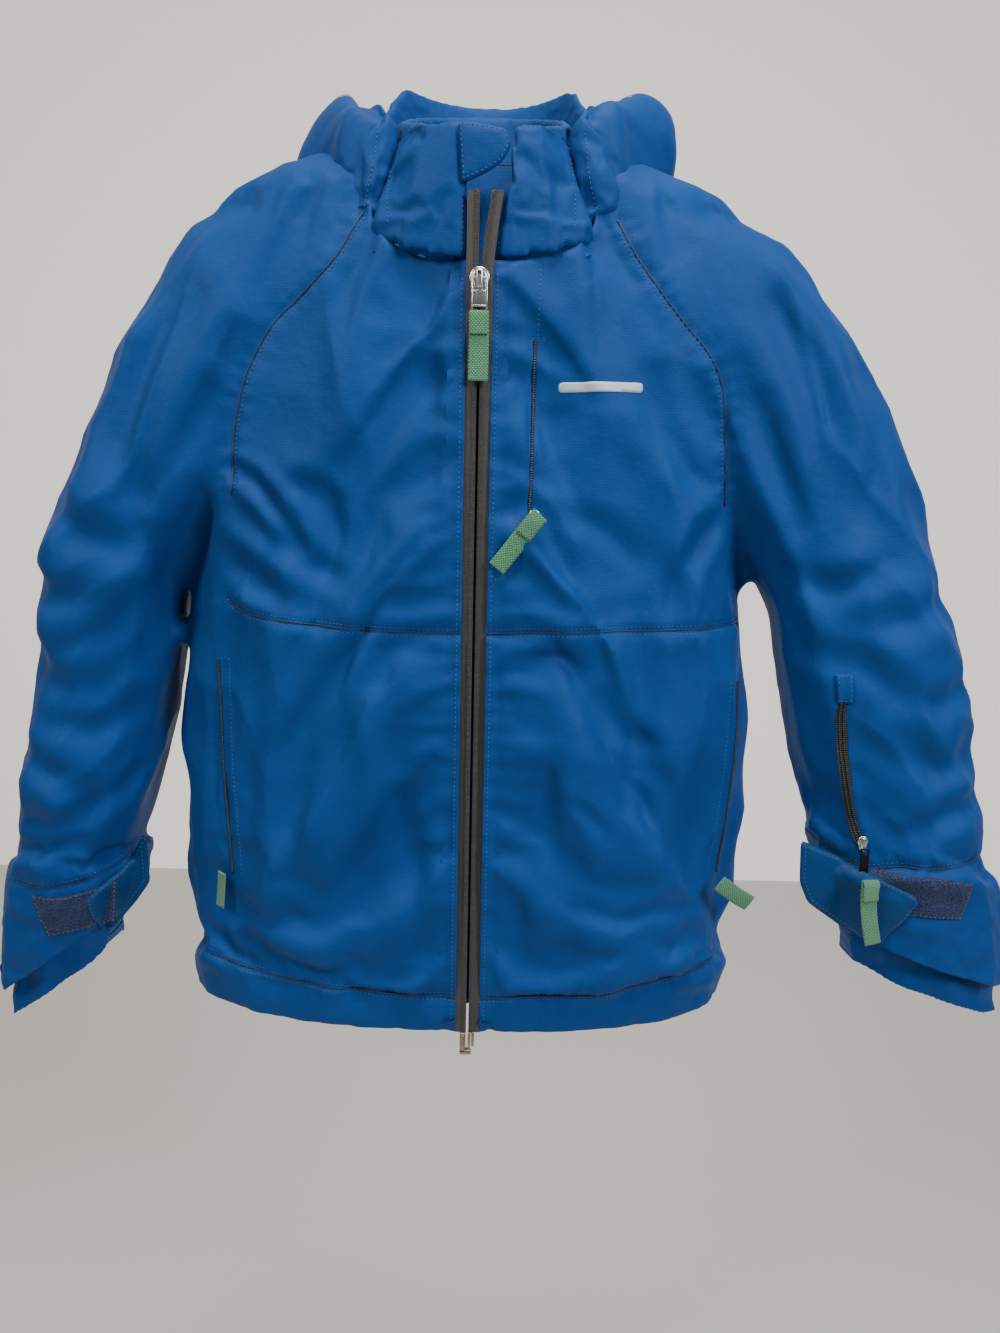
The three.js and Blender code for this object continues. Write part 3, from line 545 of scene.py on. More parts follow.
for index, place in enumerate(shaped):
    x, y, z = place
    calm = max(0, min(1, (abs(x) - 0.02) / 0.03)) if y < 0 else 1
    calm *= max(0.15, min(1, (z + 0.600) / 0.03)) * max(0.2, min(1, (-0.06 - z) / 0.05))
    if abs(x) > 0.24:
        calm *= max(0.15, min(1, (z + 0.515) / 0.05))
    calm *= 1 - 0.9 * math.exp(-((x - 0.083) / 0.045) ** 4 - ((z + 0.169) / 0.016) ** 4)
    shaped[index] += facing[index] * max(-1, crumple(place)) * 0.005 * calm
shaped = press_creases(shaped, facing, CREASES, False)
POCKET_LINES = {
    "chest": [(37.5, -139), (37, -180), (36.6, -225), (36, -262)],
    "hand_right": [(-185.5, -363), (-183, -410), (-180, -465), (-176, -521)],
    "hand_left": [(194, -372), (193, -420), (190, -470), (185, -518)],
    "sleeve": [(263, -366), (265, -400), (270.5, -435), (279, -466), (287.5, -488)],
}
shaped = press_creases(shaped, facing, [(line, 2.2, 3.2) for line in POCKET_LINES.values()], False)
BACK_CREASES = [
    ([(-150, -240), (-110, -268), (-70, -276)], 4.0, 9),
    ([(150, -240), (112, -266), (66, -272)], 4.0, 9),
    ([(-70, -330), (-76, -420), (-66, -520)], 3.0, 13),
    ([(64, -320), (72, -410), (84, -520)], 3.0, 13),
    ([(-10, -300), (4, -390), (-4, -480)], 2.4, 14), ([(-300, -350), (-262, -352)], 5.0, 9),
    ([(-330, -420), (-256, -424)], 5.0, 9), ([(240, -350), (330, -342)], 5.0, 9),
    ([(260, -420), (370, -408)], 5.0, 9), ([(-236, -150), (-262, -240)], 4.0, 12),
    ([(238, -150), (270, -240)], 4.0, 12), ([(-140, -420), (-150, -540)], 3.0, 12),
    ([(140, -410), (152, -530)], 3.0, 12),
]
shaped = press_creases(shaped, facing, BACK_CREASES, True)
set_points(envelope, shaped)

# Each seam pulls the cloth in along its line, with small puckers where the thread gathers it.
tree = surface_tree(envelope)
shaped, facing = points_of(envelope), normals_of(envelope)
seam_spots, seam_stations = [], []
for name, line in SEAMS.items():
    for back in (False, True):
        if back and name.startswith("yoke"):
            continue
        track = on_cloth(tree, closer(line, 0.0015), back)
        run = 0.0
        for (spot, _), (before, _) in zip(track, [track[0]] + track):
            run += min((spot - before).length, 0.004)
            seam_spots.append(spot)
            seam_stations.append(run)
spots = KDTree(len(seam_spots))
for number, spot in enumerate(seam_spots):
    spots.insert(spot, number)
spots.balance()
sink = np.zeros(len(shaped))
for index, place in enumerate(shaped):
    _, number, gap = spots.find(place)
    if gap < 0.016:
        run = seam_stations[number]
        pucker = 0.5 + 0.5 * math.sin(run * 2 * math.pi / 0.013 + 1.7 * math.sin(run * 90))
        sink[index] = -0.0027 * math.exp(-(gap / 0.0026) ** 2) - 0.0009 * pucker * math.exp(-((gap
            - 0.006) / 0.004) ** 2)
shaped = shaped + facing * sink[:, None]
zip_side = (shaped[:, 1] < -0.04) & (np.abs(shaped[:, 0]) < 0.034) & (shaped[:, 2] < -0.09)
for index in np.where(zip_side)[0]:
    x, y, z = shaped[index]
    gap = abs(abs(x) - 0.0165)
    pucker = max(0, noise.noise(Vector((3 if x > 0 else 8, z * 38, 0)))) * 2
    shaped[index] += facing[index] * (-0.0016 * math.exp(-(gap / 0.0032) ** 2)
                                      - 0.0016 * pucker * math.exp(-((abs(x)
                                          - 0.025) / 0.007) ** 2))
set_points(envelope, shaped)

# Parting the cloth: open the front, the neck, the hem and the cuffs, and turn every edge in.
RIGHT, LEFT = -1, 1
ZIP_EDGE = 0.0086


CUFF_MOUTH = {RIGHT: Vector((-0.61, 0, 0.79)), LEFT: Vector((0.29, 0, 0.956))}
SKIRT_TOP = -0.5  # below this height are only the hem and the cuffs


def hem_height(x):
    return -0.6285 + 0.0095 * min(1, abs(x) / 0.21) ** 2


def with_corners(faces):
    """Faces with their edges and corners, always in the same order."""
    parts = dict.fromkeys(faces)
    for face in faces:
        parts.update(dict.fromkeys(face.edges))
        parts.update(dict.fromkeys(face.verts))
    return list(parts)


def open_up(bm):
    """Opens a closed envelope at the front, neck, hem and wrists."""
    for x in (-ZIP_EDGE, ZIP_EDGE):
        front = [f for f in bm.faces if f.calc_center_median().y < -0.03
                 and abs(f.calc_center_median().x) < 0.03]
        bmesh.ops.bisect_plane(bm, geom=with_corners(front), plane_co=(x, 0, 0),
                               plane_no=(1, 0, 0), dist=1e-6)
    body = [f for f in bm.faces if abs(f.calc_center_median().x) < 0.235
            and f.calc_center_median().z < -0.56]
    cut = with_corners(body)
    for v in bm.verts:
        v.co.z -= hem_height(v.co.x)
    bmesh.ops.bisect_plane(bm, geom=cut, plane_co=(0, 0, 0), plane_no=(0, 0, -1), clear_outer=True,
                           dist=1e-6)
    for v in bm.verts:
        v.co.z += hem_height(v.co.x)
    bm.normal_update()
    gone = []
    sense = 1 if sum(f.normal.y * f.calc_area() for f in bm.faces
                     if f.calc_center_median().y < 0) < 0 else -1
    for f in bm.faces:
        x, y, z = f.calc_center_median()
        n = f.normal * sense
        round_neck = math.hypot(x / 0.07, (y + 0.013) / 0.073)
        if y < -0.03 and abs(x) < ZIP_EDGE:
            gone.append(f)
        elif z > -0.105 and round_neck < 0.9 and n.z > -0.2:
            gone.append(f)
        elif y < -0.02 and round_neck < 1.3 and z > -0.0905 + 0.026 * (abs(x) / 0.075) ** 3:
            gone.append(f)
    bmesh.ops.delete(bm, geom=gone, context="FACES")
    for sign, up_arm in CUFF_MOUTH.items():
        way = -up_arm
        arm = [f for f in bm.faces if sign * f.calc_center_median().x > 0.24
               and f.calc_center_median().z < -0.5]
        mouth = [f for f in arm if (f.normal * sense).dot(way) > 0.9 and f.calc_center_median().z <
                 -0.53]
        way = sum((f.normal * sense * f.calc_area() for f in mouth), Vector()).normalized()
        centre = sum((f.calc_center_median() * f.calc_area() for f in mouth),
                     Vector()) / sum(f.calc_area() for f in mouth)
        bmesh.ops.bisect_plane(bm, geom=with_corners(arm), plane_co=centre - way * 0.0045,
                               plane_no=way, clear_outer=True, dist=1e-6)
    rim = [v for v in bm.verts if v.is_boundary and v.co.z < SKIRT_TOP
           and abs(abs(v.co.x) - ZIP_EDGE) > 0.0008]
    bmesh.ops.remove_doubles(bm, verts=rim, dist=0.0013)
    for _ in range(2):
        loose = [f for f in bm.faces if sum(e.is_boundary for e in f.edges) >= 3]
        bmesh.ops.delete(bm, geom=loose, context="FACES")
    for _ in range(14):
        rim = [v for v in bm.verts if v.is_boundary]
        fresh = {}
        for v in rim:
            if v.co.z < SKIRT_TOP or abs(abs(v.co.x) - ZIP_EDGE) < 0.0008 and v.co.y < -0.03:
                continue
            beside = [e.other_vert(v).co for e in v.link_edges if e.is_boundary]
            if len(beside) == 2:
                fresh[v] = v.co * 0.4 + (beside[0] + beside[1]) * 0.3
        for v, place in fresh.items():
            v.co = place


def turn_in(bm, depth, rise):
    """Folds every open edge inwards, as a turned and sewn edge."""
    bm.normal_update()
    rim = [e for e in bm.edges if e.is_boundary]
    rim_set = set(rim)
    normals = {v: v.normal.copy() for e in rim for v in e.verts}
    centre = {}
    for e in rim:
        face = e.link_faces[0]
        inward = (face.calc_center_median() - (e.verts[0].co + e.verts[1].co) / 2).normalized()
        for v in e.verts:
            centre[v] = centre.get(v, Vector()) + inward
    first = bmesh.ops.extrude_edge_only(bm, edges=rim)["geom"]
    neighbours = {v: [e.other_vert(v) for e in v.link_edges if e in rim_set] for v in normals}
    for _ in range(6):
        normals = {v: (n + sum((normals[o] for o in neighbours[v] if o in normals),
                               Vector())).normalized() for v, n in normals.items()}
    lookup = {tuple(round(c, 7) for c in v.co): v for v in normals}
    moved = []
    for v in (g for g in first if isinstance(g, bmesh.types.BMVert)):
        source = lookup.get(tuple(round(c, 7) for c in v.co))
        if source:
            v.co = v.co - normals[source] * depth
            moved.append((v, source))
    edges = [g for g in first if isinstance(g, bmesh.types.BMEdge)]
    second = bmesh.ops.extrude_edge_only(bm, edges=edges)["geom"]
    lookup = {tuple(round(c, 7) for c in v.co): source for v, source in moved}
    for v in (g for g in second if isinstance(g, bmesh.types.BMVert)):
        source = lookup.get(tuple(round(c, 7) for c in v.co))
        if source and source.co.z < SKIRT_TOP and abs(abs(source.co.x) - ZIP_EDGE) > 0.002:
            way = Vector((0, 0, 1))
            if abs(source.co.x) >= 0.24:
                way = CUFF_MOUTH[RIGHT if source.co.x < 0 else LEFT]
            v.co = v.co + way * rise - normals[source] * 0.0035
        elif source and centre[source].length > 0:
            v.co = v.co + centre[source].normalized() * rise - normals[source] * 0.0006
    bm.normal_update()


outer = bmesh.new()
outer.from_mesh(envelope.data)
open_up(outer)
open_up(lining_whole)
turn_in(outer, 0.0022, 0.012)

label_tree_bm = bmesh.new()
labels = []
for number, name in enumerate(SEWN_NODES):
    before = len(label_tree_bm.faces)
    label_tree_bm.from_mesh(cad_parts[name].data)
    labels += [number] * (len(label_tree_bm.faces) - before)
label_tree = BVHTree.FromBMesh(label_tree_bm)
label_tree_bm.free()


def panel_of(spot):
    """The panel that a place on the cloth belongs to."""
    name = SEWN_NODES[labels[label_tree.find_nearest(spot)[2]]]
    if name.startswith(("shoulder", "sleeve", "elbow")):
        side = "right" if spot.x < 0 else "left"
        # the sleeve is parted across the arm where its upper half already moves as one
        reach = 0.93 * abs(spot.x) + 0.37 * abs(spot.z)
        return ("sleeve_top_" if reach < 0.334 else "sleeve_end_") + side
    if name.startswith("front") and spot.y < 0:
        side = "right" if spot.x < 0 else "left"
        return f"front_{side}_" + name.rsplit("_", 1)[1]
    return name


def part_cloth(bm, name_of, ending, material):
    """Parts a cloth into panels that keep the whole cloth's smooth shading."""
    bm.normal_update()
    groups = {}
    for face in bm.faces:
        groups.setdefault(name_of(face.calc_center_median()), []).append(face)
    made = {}
    for name, faces in sorted(groups.items()):
        panel = bmesh.new()
        copies, normals = {}, []
        for face in faces:
            for v in face.verts:
                if v not in copies:
                    copies[v] = panel.verts.new(v.co)
                    normals.append(tuple(v.normal))
            panel.faces.new([copies[v] for v in face.verts])
        piece = new_piece(name + ending, panel, material)
        piece.data.normals_split_custom_set_from_vertices(normals)
        made[name] = piece
    return made


panels = part_cloth(outer, panel_of, "_cloth", shell_blue)
outer.free()
STANDS_FOR = {"sleeve_top_": ("shoulder_", "shoulder_cap_", "sleeve_upper_"),
              "sleeve_end_": ("elbow_fold_", "sleeve_lower_")}


def follow_arm(piece, name):
    """Bakes a sleeve piece's transform into its mesh."""
    side = name.rsplit("_", 1)[1]
    sign = RIGHT if side == "right" else LEFT
    if "top" in name:
        way = Vector((0.93 * sign, 0, -0.37))
        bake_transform(piece)
    else:
        x = 0.28 * sign
        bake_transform(piece)


for name, piece in panels.items():
    if name.startswith("sleeve_"):
        follow_arm(piece, name)
        side = name.rsplit("_", 1)[1]
        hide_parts(*[stem + side for stem in STANDS_FOR[name[:11]]])
    else:
        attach(piece, "forearm_" + name[5:] if name.startswith("cuff_") else "jacket")
        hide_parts(name)


# ---------------------------------------------------------------- Lining
# Plain grey woven lining, sewn in at the neck, front, hem and wrists.
def lining_cloth(name, tone, deep):
    mixed = Finish(name, Sheen_Weight=0.1, Specular_IOR_Level=0.35)
    x, y, z = mixed.parts(mixed.place())
    weave = ((x + y) * 5200).wave() + (z * 5200).wave()
    broad = mixed.noise(14, 3)
    mixed.give("Base Color", mixed.blend((broad * 1.4 - 0.2).held(), deep, tone))
    mixed.give("Roughness", (broad * 0.2 + 0.5).held())
    mixed.give("Normal", mixed.bump(weave + mixed.noise(60, 3) * 5.0, 0.0004, 0.6))
    return mixed.material


lining_grey = lining_cloth("lining_grey", (0.30, 0.295, 0.25), (0.2, 0.2, 0.175))


def lining_of(spot):
    name = panel_of(spot)
    if name.startswith("sleeve"):
        return name
    if name.startswith("cuff"):
        return "sleeve_end_" + name[5:]
    return "body"


linings = part_cloth(lining_whole, lining_of, "_lining", lining_grey)
lining_whole.free()
for name, piece in linings.items():
    cut, width = sum(p.area for p in piece.data.polygons), 0.95 if name == "body" else 0.34
    cut / width * 1.08
    if name == "body":
        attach(piece, "jacket")
        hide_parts("lining_body", "insulation_body", "chest_pocket_bag",
                    "hand_pocket_bag_right", "hand_pocket_bag_left")
    else:
        follow_arm(piece, name)
        side = name.rsplit("_", 1)[1]
        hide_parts(("lining_sleeve_upper_" if "top" in name else "lining_sleeve_lower_")
                    + side)
bpy.data.objects.remove(envelope)


# ---------------------------------------------------------------- Seam stitching
# Blue core-spun thread in rows beside the seams and along every turned edge.
def thread_finish(name, tone):
    mixed = Finish(name, Sheen_Weight=0.2)
    shade = mixed.noise(300, 2)
    mixed.give("Base Color", mixed.blend(shade, tone, tuple(c * 0.6 for c in tone)))
    mixed.give("Roughness", shade * 0.2 + 0.5)
    return mixed.material


thread_blue = thread_finish("thread_blue", (0.004, 0.085, 0.30))
cloth_tree = surface_tree(*panels.values())


def sew(name, tracks, body, material=thread_blue, length=0.0024, pitch=0.0033, thick=0.00042):
    """Rows of stitches along tracks of points and normals."""
    bm = bmesh.new()
    for track in tracks:
        if len(track) < 2:
            continue
        run, due = 0.0, 0.0
        for (a, normal), (b, _) in zip(track, track[1:]):
            gap = (b - a).length
            if gap > 0.012 or gap < 1e-7:
                continue
            while due < run + gap:
                way = (b - a) / gap
                centre = a + way * (due - run) + normal * 0.0001
                side = way.cross(normal).normalized() * thick
                lift = normal.normalized() * thick
                ends = [bm.verts.new(centre + way * length / 2 * k) for k in (-1, 1)]
                ring = [bm.verts.new(centre + v) for v in (side, lift, -side, -lift)]
                for p, q in zip(ring, ring[1:] + ring[:1]):
                    bm.faces.new((ends[1], p, q))
                    bm.faces.new((ends[0], q, p))
                due += pitch
            run += gap
    bmesh.ops.recalc_face_normals(bm, faces=bm.faces)
    piece = new_piece(name, bm, material)
    belongs(piece, body, "blue_shell")
    return piece


def beside(line, gap):
    """A front line moved sideways, in millimetres."""
    line = closer(line, 0.002)
    way = np.gradient(line, axis=0)
    way /= np.linalg.norm(way, axis=1)[:, None]
    return line + np.c_[-way[:, 1], way[:, 0]] * gap / 1000


for side in ("right", "left"):
    sign = RIGHT if side == "right" else LEFT
    raglan = SEAMS["raglan_" + side]
    sew(f"raglan_stitching_{side}", [on_cloth(cloth_tree, beside(raglan, 3.2 * -sign)),
                                     on_cloth(cloth_tree, beside(raglan, 3.2 * -sign), True)],
                                     "jacket")
    yoke = SEAMS["yoke_" + side]
    sew(f"yoke_stitching_{side}", [on_cloth(cloth_tree, beside(yoke, g)) for g in (-2.6, 2.6)],
        "jacket")
    hem = SEAMS["hem_" + side]
    sew(f"hem_stitching_{side}",
        [on_cloth(cloth_tree, beside(hem, g), b) for g in (2.4, -2.4) for b in (False, True)],
        "jacket")
    edge = [(sign * 11.6, -100), (sign * 11.6, -300), (sign * 11.6, -622)]
    sew(f"zip_edge_stitching_{side}", [on_cloth(cloth_tree, closer(edge, 0.002))], "jacket")

# ---------------------------------------------------------------- Sewn-on patches
# Flat cloth shapes laid on the jacket and sewn round: cuff straps, hook-and-loop pads, the zip
# garage and the reflective bar. Each lies on the crumpled cloth, with a rounded edge.

def rounded(outline, radius):
    """An outline in millimetres with its corners rounded."""
    points = [Vector(p) for p in outline]
    out = []
    for before, here, after in zip([points[-1]] + points, points, points[1:] + points[:1]):
        a, b = (before - here), (after - here)
        cut = min(radius, a.length * 0.45, b.length * 0.45)
        p, q = here + a.normalized() * cut, here + b.normalized() * cut
        for t in (0, 0.25, 0.5, 0.75, 1):
            out.append(p * (1 - t) ** 2 + here * 2 * t * (1 - t) + q * t * t)
    return out


def patch(name, outline, lift, thick, material, radius=2.0, step=1.7, tree=None, puff=0.0,
          edge=2.2, level=None):
    """A sewn patch whose outline is given in millimetres of x and z, laid on the cloth."""
    tree = tree or cloth_tree
    rim = []
    corners = rounded(outline, radius) if radius else [Vector(p) for p in outline]
    for a, b in zip(corners, corners[1:] + corners[:1]):
        count = max(1, round((b - a).length / step))
        rim += [a.lerp(b, k / count) for k in range(count)]
    def gap_to_rim(p):
        best = 1e9
        for a, b in zip(rim, rim[1:] + rim[:1]):
            d = b - a
            t = max(0, min(1, (p - a).dot(d) / max(d.length_squared, 1e-9)))
            best = min(best, (a + d * t - p).length)
        return best
    def inside(p):
        hit = False
        for a, b in zip(rim, rim[1:] + rim[:1]):
            if (a.y > p.y) != (b.y > p.y) and p.x < (b.x - a.x) * (p.y - a.y) / (b.y - a.y) + a.x:
                hit = not hit
        return hit
    low = Vector((min(p.x for p in rim), min(p.y for p in rim)))
    high = Vector((max(p.x for p in rim), max(p.y for p in rim)))
    filling = []
    row = 0
    y = low.y + step / 2
    while y < high.y:
        x = low.x + (step / 2 if row % 2 else 0)
        while x < high.x:
            p = Vector((x, y))
            if inside(p) and gap_to_rim(p) > step * 0.55:
                filling.append(p)
            x += step
        y += step * 0.87
        row += 1
    points = rim + filling
    verts, _, faces, *_ = delaunay_2d_cdt(points, [], [list(range(len(rim)))], 1, 1e-6)
    spots, ways = [], []
    for v in verts:
        hit = tree.ray_cast((v.x / 1000, -0.5, v.y / 1000), (0, 1, 0)) if level is None else (None,
            None)
        spots.append(hit[0] if hit[0] is not None else None)
        ways.append(hit[1])
    known = [k for k, s in enumerate(spots) if s is not None]
    if level is not None:
        spots = [Vector((v.x / 1000, level(v.x, v.y) / 1000, v.y / 1000)) for v in verts]
        ways = [Vector((0, -1, 0))] * len(verts)
    else:
        typical = float(np.median([spots[k].y for k in known]))
        steady = sum((ways[k] for k in known if spots[k].y < typical + 0.01), Vector()).normalized()
        for k, v in enumerate(verts):
            if spots[k] is None or spots[k].y > typical + 0.013:
                spots[k] = Vector((v.x / 1000, typical + 0.013, v.y / 1000))
            if ways[k] is None or ways[k].y > -0.6:
                ways[k] = steady
    mean = Vector((sum(w.x for w in ways), sum(w.y for w in ways),
                   sum(w.z for w in ways))).normalized()
    bm = bmesh.new()
    made = []
    for v, spot, way in zip(verts, spots, ways):
        gap = gap_to_rim(v)
        shape = 1 - (1 - min(gap / edge, 1)) ** 2
        way = (way.normalized() * 0.5 + mean).normalized()
        made.append(bm.verts.new(spot
                                 + way * (lift + thick * (0.45 + 0.55 * shape)
                                          + puff * min(gap / 10, 1)) / 1000))
    for face in faces:
        try:
            bm.faces.new([made[k] for k in face])
        except ValueError:
            pass
    for _ in range(2):
        bmesh.ops.smooth_vert(bm, verts=[v for v in bm.verts if not v.is_boundary], factor=0.5,
                              use_axis_x=False, use_axis_y=True, use_axis_z=False)
    bmesh.ops.recalc_face_normals(bm, faces=bm.faces)
    bm.normal_update()
    if sum(f.normal.dot(mean) for f in bm.faces) < 0:
        bmesh.ops.reverse_faces(bm, faces=bm.faces)
    rims = [e for e in bm.edges if e.is_boundary]
    grown = bmesh.ops.extrude_edge_only(bm, edges=rims)["geom"]
    for v in (g for g in grown if isinstance(g, bmesh.types.BMVert)):
        v.co -= mean * (thick + lift * 0.6 + 0.4) / 1000
    bm.normal_update()
    return new_piece(name, bm, material), rim


def round_edge(name, outline, inset, body, tree=None, rows=(0,), **thread):
    """Stitches round a patch, inset from its edge in millimetres."""
    tree = tree or cloth_tree
    loop = rounded(outline, 2.0)
    middle = sum(loop, Vector((0, 0))) / len(loop)
    tracks = []
    for row in rows:
        line = []
        for a, b, c in zip([loop[-1]] + loop, loop, loop[1:] + loop[:1]):
            way = (c - a).normalized()
            side = Vector((-way.y, way.x))
            if side.dot(middle - b) < 0:
                side = -side
            line.append(b + side * (inset + row))
        line.append(line[0])
        tracks.append(on_cloth(tree, closer([tuple(p) for p in line], 0.0015)))
    return sew(name, tracks, body, **thread)


def loop_pile():
    mixed = Finish("loop_pile", Sheen_Weight=0.1, Specular_IOR_Level=0.2)
    cells = mixed.node("ShaderNodeTexVoronoi", sockets={"Vector": mixed.place(), "Scale": 620})
    pile = Signal(mixed, cells.outputs[0])
    rough = mixed.noise(900, 3)
    mixed.give("Base Color",
               mixed.blend((pile * 1.5 + rough * 0.5 - 0.2).held(), (0.002, 0.006, 0.03),
                           (0.022, 0.034, 0.10)))
    mixed.give("Roughness", (rough * 0.2 + 0.65).held())
    mixed.give("Normal", mixed.bump(pile + rough * 0.4, 0.0012, 0.9))
    return mixed.material


pile_navy = loop_pile()
strap_teal = shell_cloth("strap_teal", (0.0008, 0.034, 0.135), (0.002, 0.055, 0.19),
                         (0.012, 0.1, 0.28), 0.5)
LOOP_PADS = {"right": [(-324, -539), (-300, -541), (-268, -534), (-270, -566), (-313, -572)],
             "left": [(290, -506), (340, -508), (367, -513), (360, -540), (324, -538), (296, -538)]}
STRAPS = {"right": [(-287, -544), (-268, -528), (-253, -503), (-251, -540), (-262, -556),
                    (-283, -581)],
          "left": [(245, -489), (286, -506), (324, -522), (327, -528), (304, -562), (279, -554),
                   (253, -536), (246, -520)]}
strap_pieces = {}
for side in ("right", "left"):
    pad, _ = patch(f"loop_pad_{side}", LOOP_PADS[side], 0.2, 1.0, pile_navy, radius=3)
    belongs(pad, f"forearm_{side}", "loop_tape", f"loop_patch_{side}")
    strap, _ = patch(f"cuff_strap_{side}", STRAPS[side], 1.4, 1.6, strap_teal, radius=4, puff=0.8)
    belongs(strap, f"cuff_flap_{side}", "teal_tab", f"cuff_tab_{side}")
    strap_pieces[side] = strap
    round_edge(f"cuff_strap_stitching_{side}", STRAPS[side], 2.6, f"cuff_flap_{side}",
               tree=surface_tree(strap))
    round_edge(f"loop_pad_stitching_{side}", LOOP_PADS[side], 1.4, f"forearm_{side}",
               tree=surface_tree(pad),
               material=thread_finish("thread_navy_" + side, (0.07, 0.09, 0.2)))


def silver_film():
    mixed = Finish("silver_film", Metallic=0.0)
    beads = mixed.noise(1500, 3)
    wear = (mixed.noise(160, 4, 0.7) - 0.6).held() * 3.0
    mixed.give("Base Color",
               mixed.blend((wear * 0.6).held(), (0.52, 0.56, 0.62), (0.2, 0.28, 0.42)))
    mixed.give("Roughness", (beads * 0.25 + 0.3).held())
    mixed.give("Normal", mixed.bump(beads, 0.0003, 0.5))
    return mixed.material


bar, _ = patch("reflective_bar_film", [(54, -166.5), (111.5, -164.5), (111.5, -171), (54, -173)],
               0.15, 0.35, silver_film(), radius=2.6, edge=0.6)
belongs(bar, "jacket", "reflective", "reflective_bar")


# ---------------------------------------------------------------- Collar
# Stand collar of two shell layers over soft filling: two fronts and a back, joined by stitched
# side seams, with the top edge rolled over and stitched.
COLLAR_SIDE_SEAM = -0.058
COLLAR_NODES = ["collar_right", "collar_left", "collar_back"]
collar_bm = cad_mesh(*COLLAR_NODES)
collar = new_piece("collar_whole", collar_bm)
apply_modifier(collar, "REMESH", mode="VOXEL", voxel_size=0.0032)
apply_modifier(collar, "SMOOTH", factor=0.5, iterations=3)
start = points_of(collar)
x, y, z = start.T
flare = 0.0145 * np.clip(np.abs(x) / 0.058, 0, 1) ** 2 * np.clip((-0.004 - z) / 0.06, 0,
    1) * np.clip((-0.012 - y) / 0.03, 0, 1)
reach = np.maximum(np.hypot(x, y + 0.013), 1e-6)
start[:, 0] += x / reach * flare
start[:, 1] += (y + 0.013) / reach * flare
set_points(collar, start)
side_seam = np.exp(-((start[:, 1] - COLLAR_SIDE_SEAM) / 0.005) ** 2)
crumple_as_cloth(
    collar, start, np.clip(0.03 + side_seam * 0.8 + (start[:, 2] < -0.07) * 0.5, 0, 1),
    furthest=0.0026, frames=16, gravity=0, quality=5, mass=0.2,
    tension_stiffness=15, compression_stiffness=15, bending_stiffness=0.8,
    shrink_min=-0.05, shrink_max=-0.05, uniform_pressure_force=1.5)
apply_modifier(collar, "SMOOTH", factor=0.5, iterations=1)
apply_modifier(collar, "SUBSURF", levels=1, render_levels=1)
shaped, facing = points_of(collar), normals_of(collar)
outward = (facing * np.c_[shaped[:, 0], shaped[:, 1] + 0.013,
                          np.zeros(len(shaped))]).sum(axis=1) > 0
sink = -0.0016 * np.exp(-((shaped[:, 1] - COLLAR_SIDE_SEAM) / 0.0022) ** 2) * outward
set_points(collar, shaped + facing * sink[:, None])
collar_bm = bmesh.new()
collar_bm.from_mesh(collar.data)
parts = part_cloth(collar_bm, lambda c: "collar_back"
                   if c.y > COLLAR_SIDE_SEAM else ("collar_right" if c.x < 0 else "collar_left"),
                   "_cloth", shell_blue)
collar_bm.free()
for name, piece in parts.items():
    belongs(piece, "jacket", "blue_shell", name)
collar_tree = surface_tree(collar)
bpy.data.objects.remove(collar)
sew("collar_stitching", [
    on_cloth(collar_tree, closer([(-61, 0), (-50, -3), (-30, -4), (-11, -4)], 0.002)),
    on_cloth(collar_tree, closer([(11, -4), (30, -4), (48, -3), (60, 0)], 0.002)),
    on_cloth(collar_tree, closer([(-60, -4), (-63, -40), (-62, -66)], 0.002)),
    on_cloth(collar_tree, closer([(58, -4), (62, -40), (62, -66)], 0.002)),
    on_cloth(collar_tree, closer([(-12, -8), (-12, -50), (-12, -88)], 0.002)),
    on_cloth(collar_tree, closer([(13, -8), (12.5, -50), (12, -88)], 0.002)),
], "jacket")

# ---------------------------------------------------------------- Chin guard and draft flap
# A soft flap sewn to the right front edge that folds over the top of the zip, and a strip of
# shell cloth behind the zip that keeps the wind out.
GUARD = [(-16, -6), (2, -8.5), (16, -11), (19, -20), (13, -31), (2, -38), (-10, -43), (-13, -42)]
guard, _ = patch("chin_guard_cloth", GUARD, 0, 2.2, shell_blue, radius=5, puff=0.6, step=1.4,
                 level=lambda x, z: -92.2 + 0.012 * (x - 4) ** 2 * 0.4
                 + (0 if z < -14 else (z + 14) * 0.15))
belongs(guard, "chin_flap", "blue_shell", "chin_guard")
round_edge("chin_guard_stitching", GUARD, 1.8, "chin_flap", tree=surface_tree(guard))
flap_bm = bmesh.new()
rows = []
for k in range(140):
    z = -0.047 - k * (0.612 - 0.047) / 139
    width_left = 0.013 if z < -0.095 else 0.0165
    row = []
    for j in range(13):
        x = -0.018 + (width_left + 0.018) * j / 12
        y = -0.0795 + 0.0012 * math.sin(j * 0.9 + z * 60) + 0.0008 * math.sin(z * 210 + j * 0.3)
        row.append(flap_bm.verts.new((x, y, z)))
    rows.append(row)
for a, b in zip(rows, rows[1:]):
    for j in range(12):
        flap_bm.faces.new((a[j], b[j], b[j + 1], a[j + 1]))
flap = new_piece("draft_flap_cloth", flap_bm, shell_blue)
apply_modifier(flap, "SOLIDIFY", thickness=0.0014, offset=0)
belongs(flap, "jacket", "blue_shell", "draft_flap")

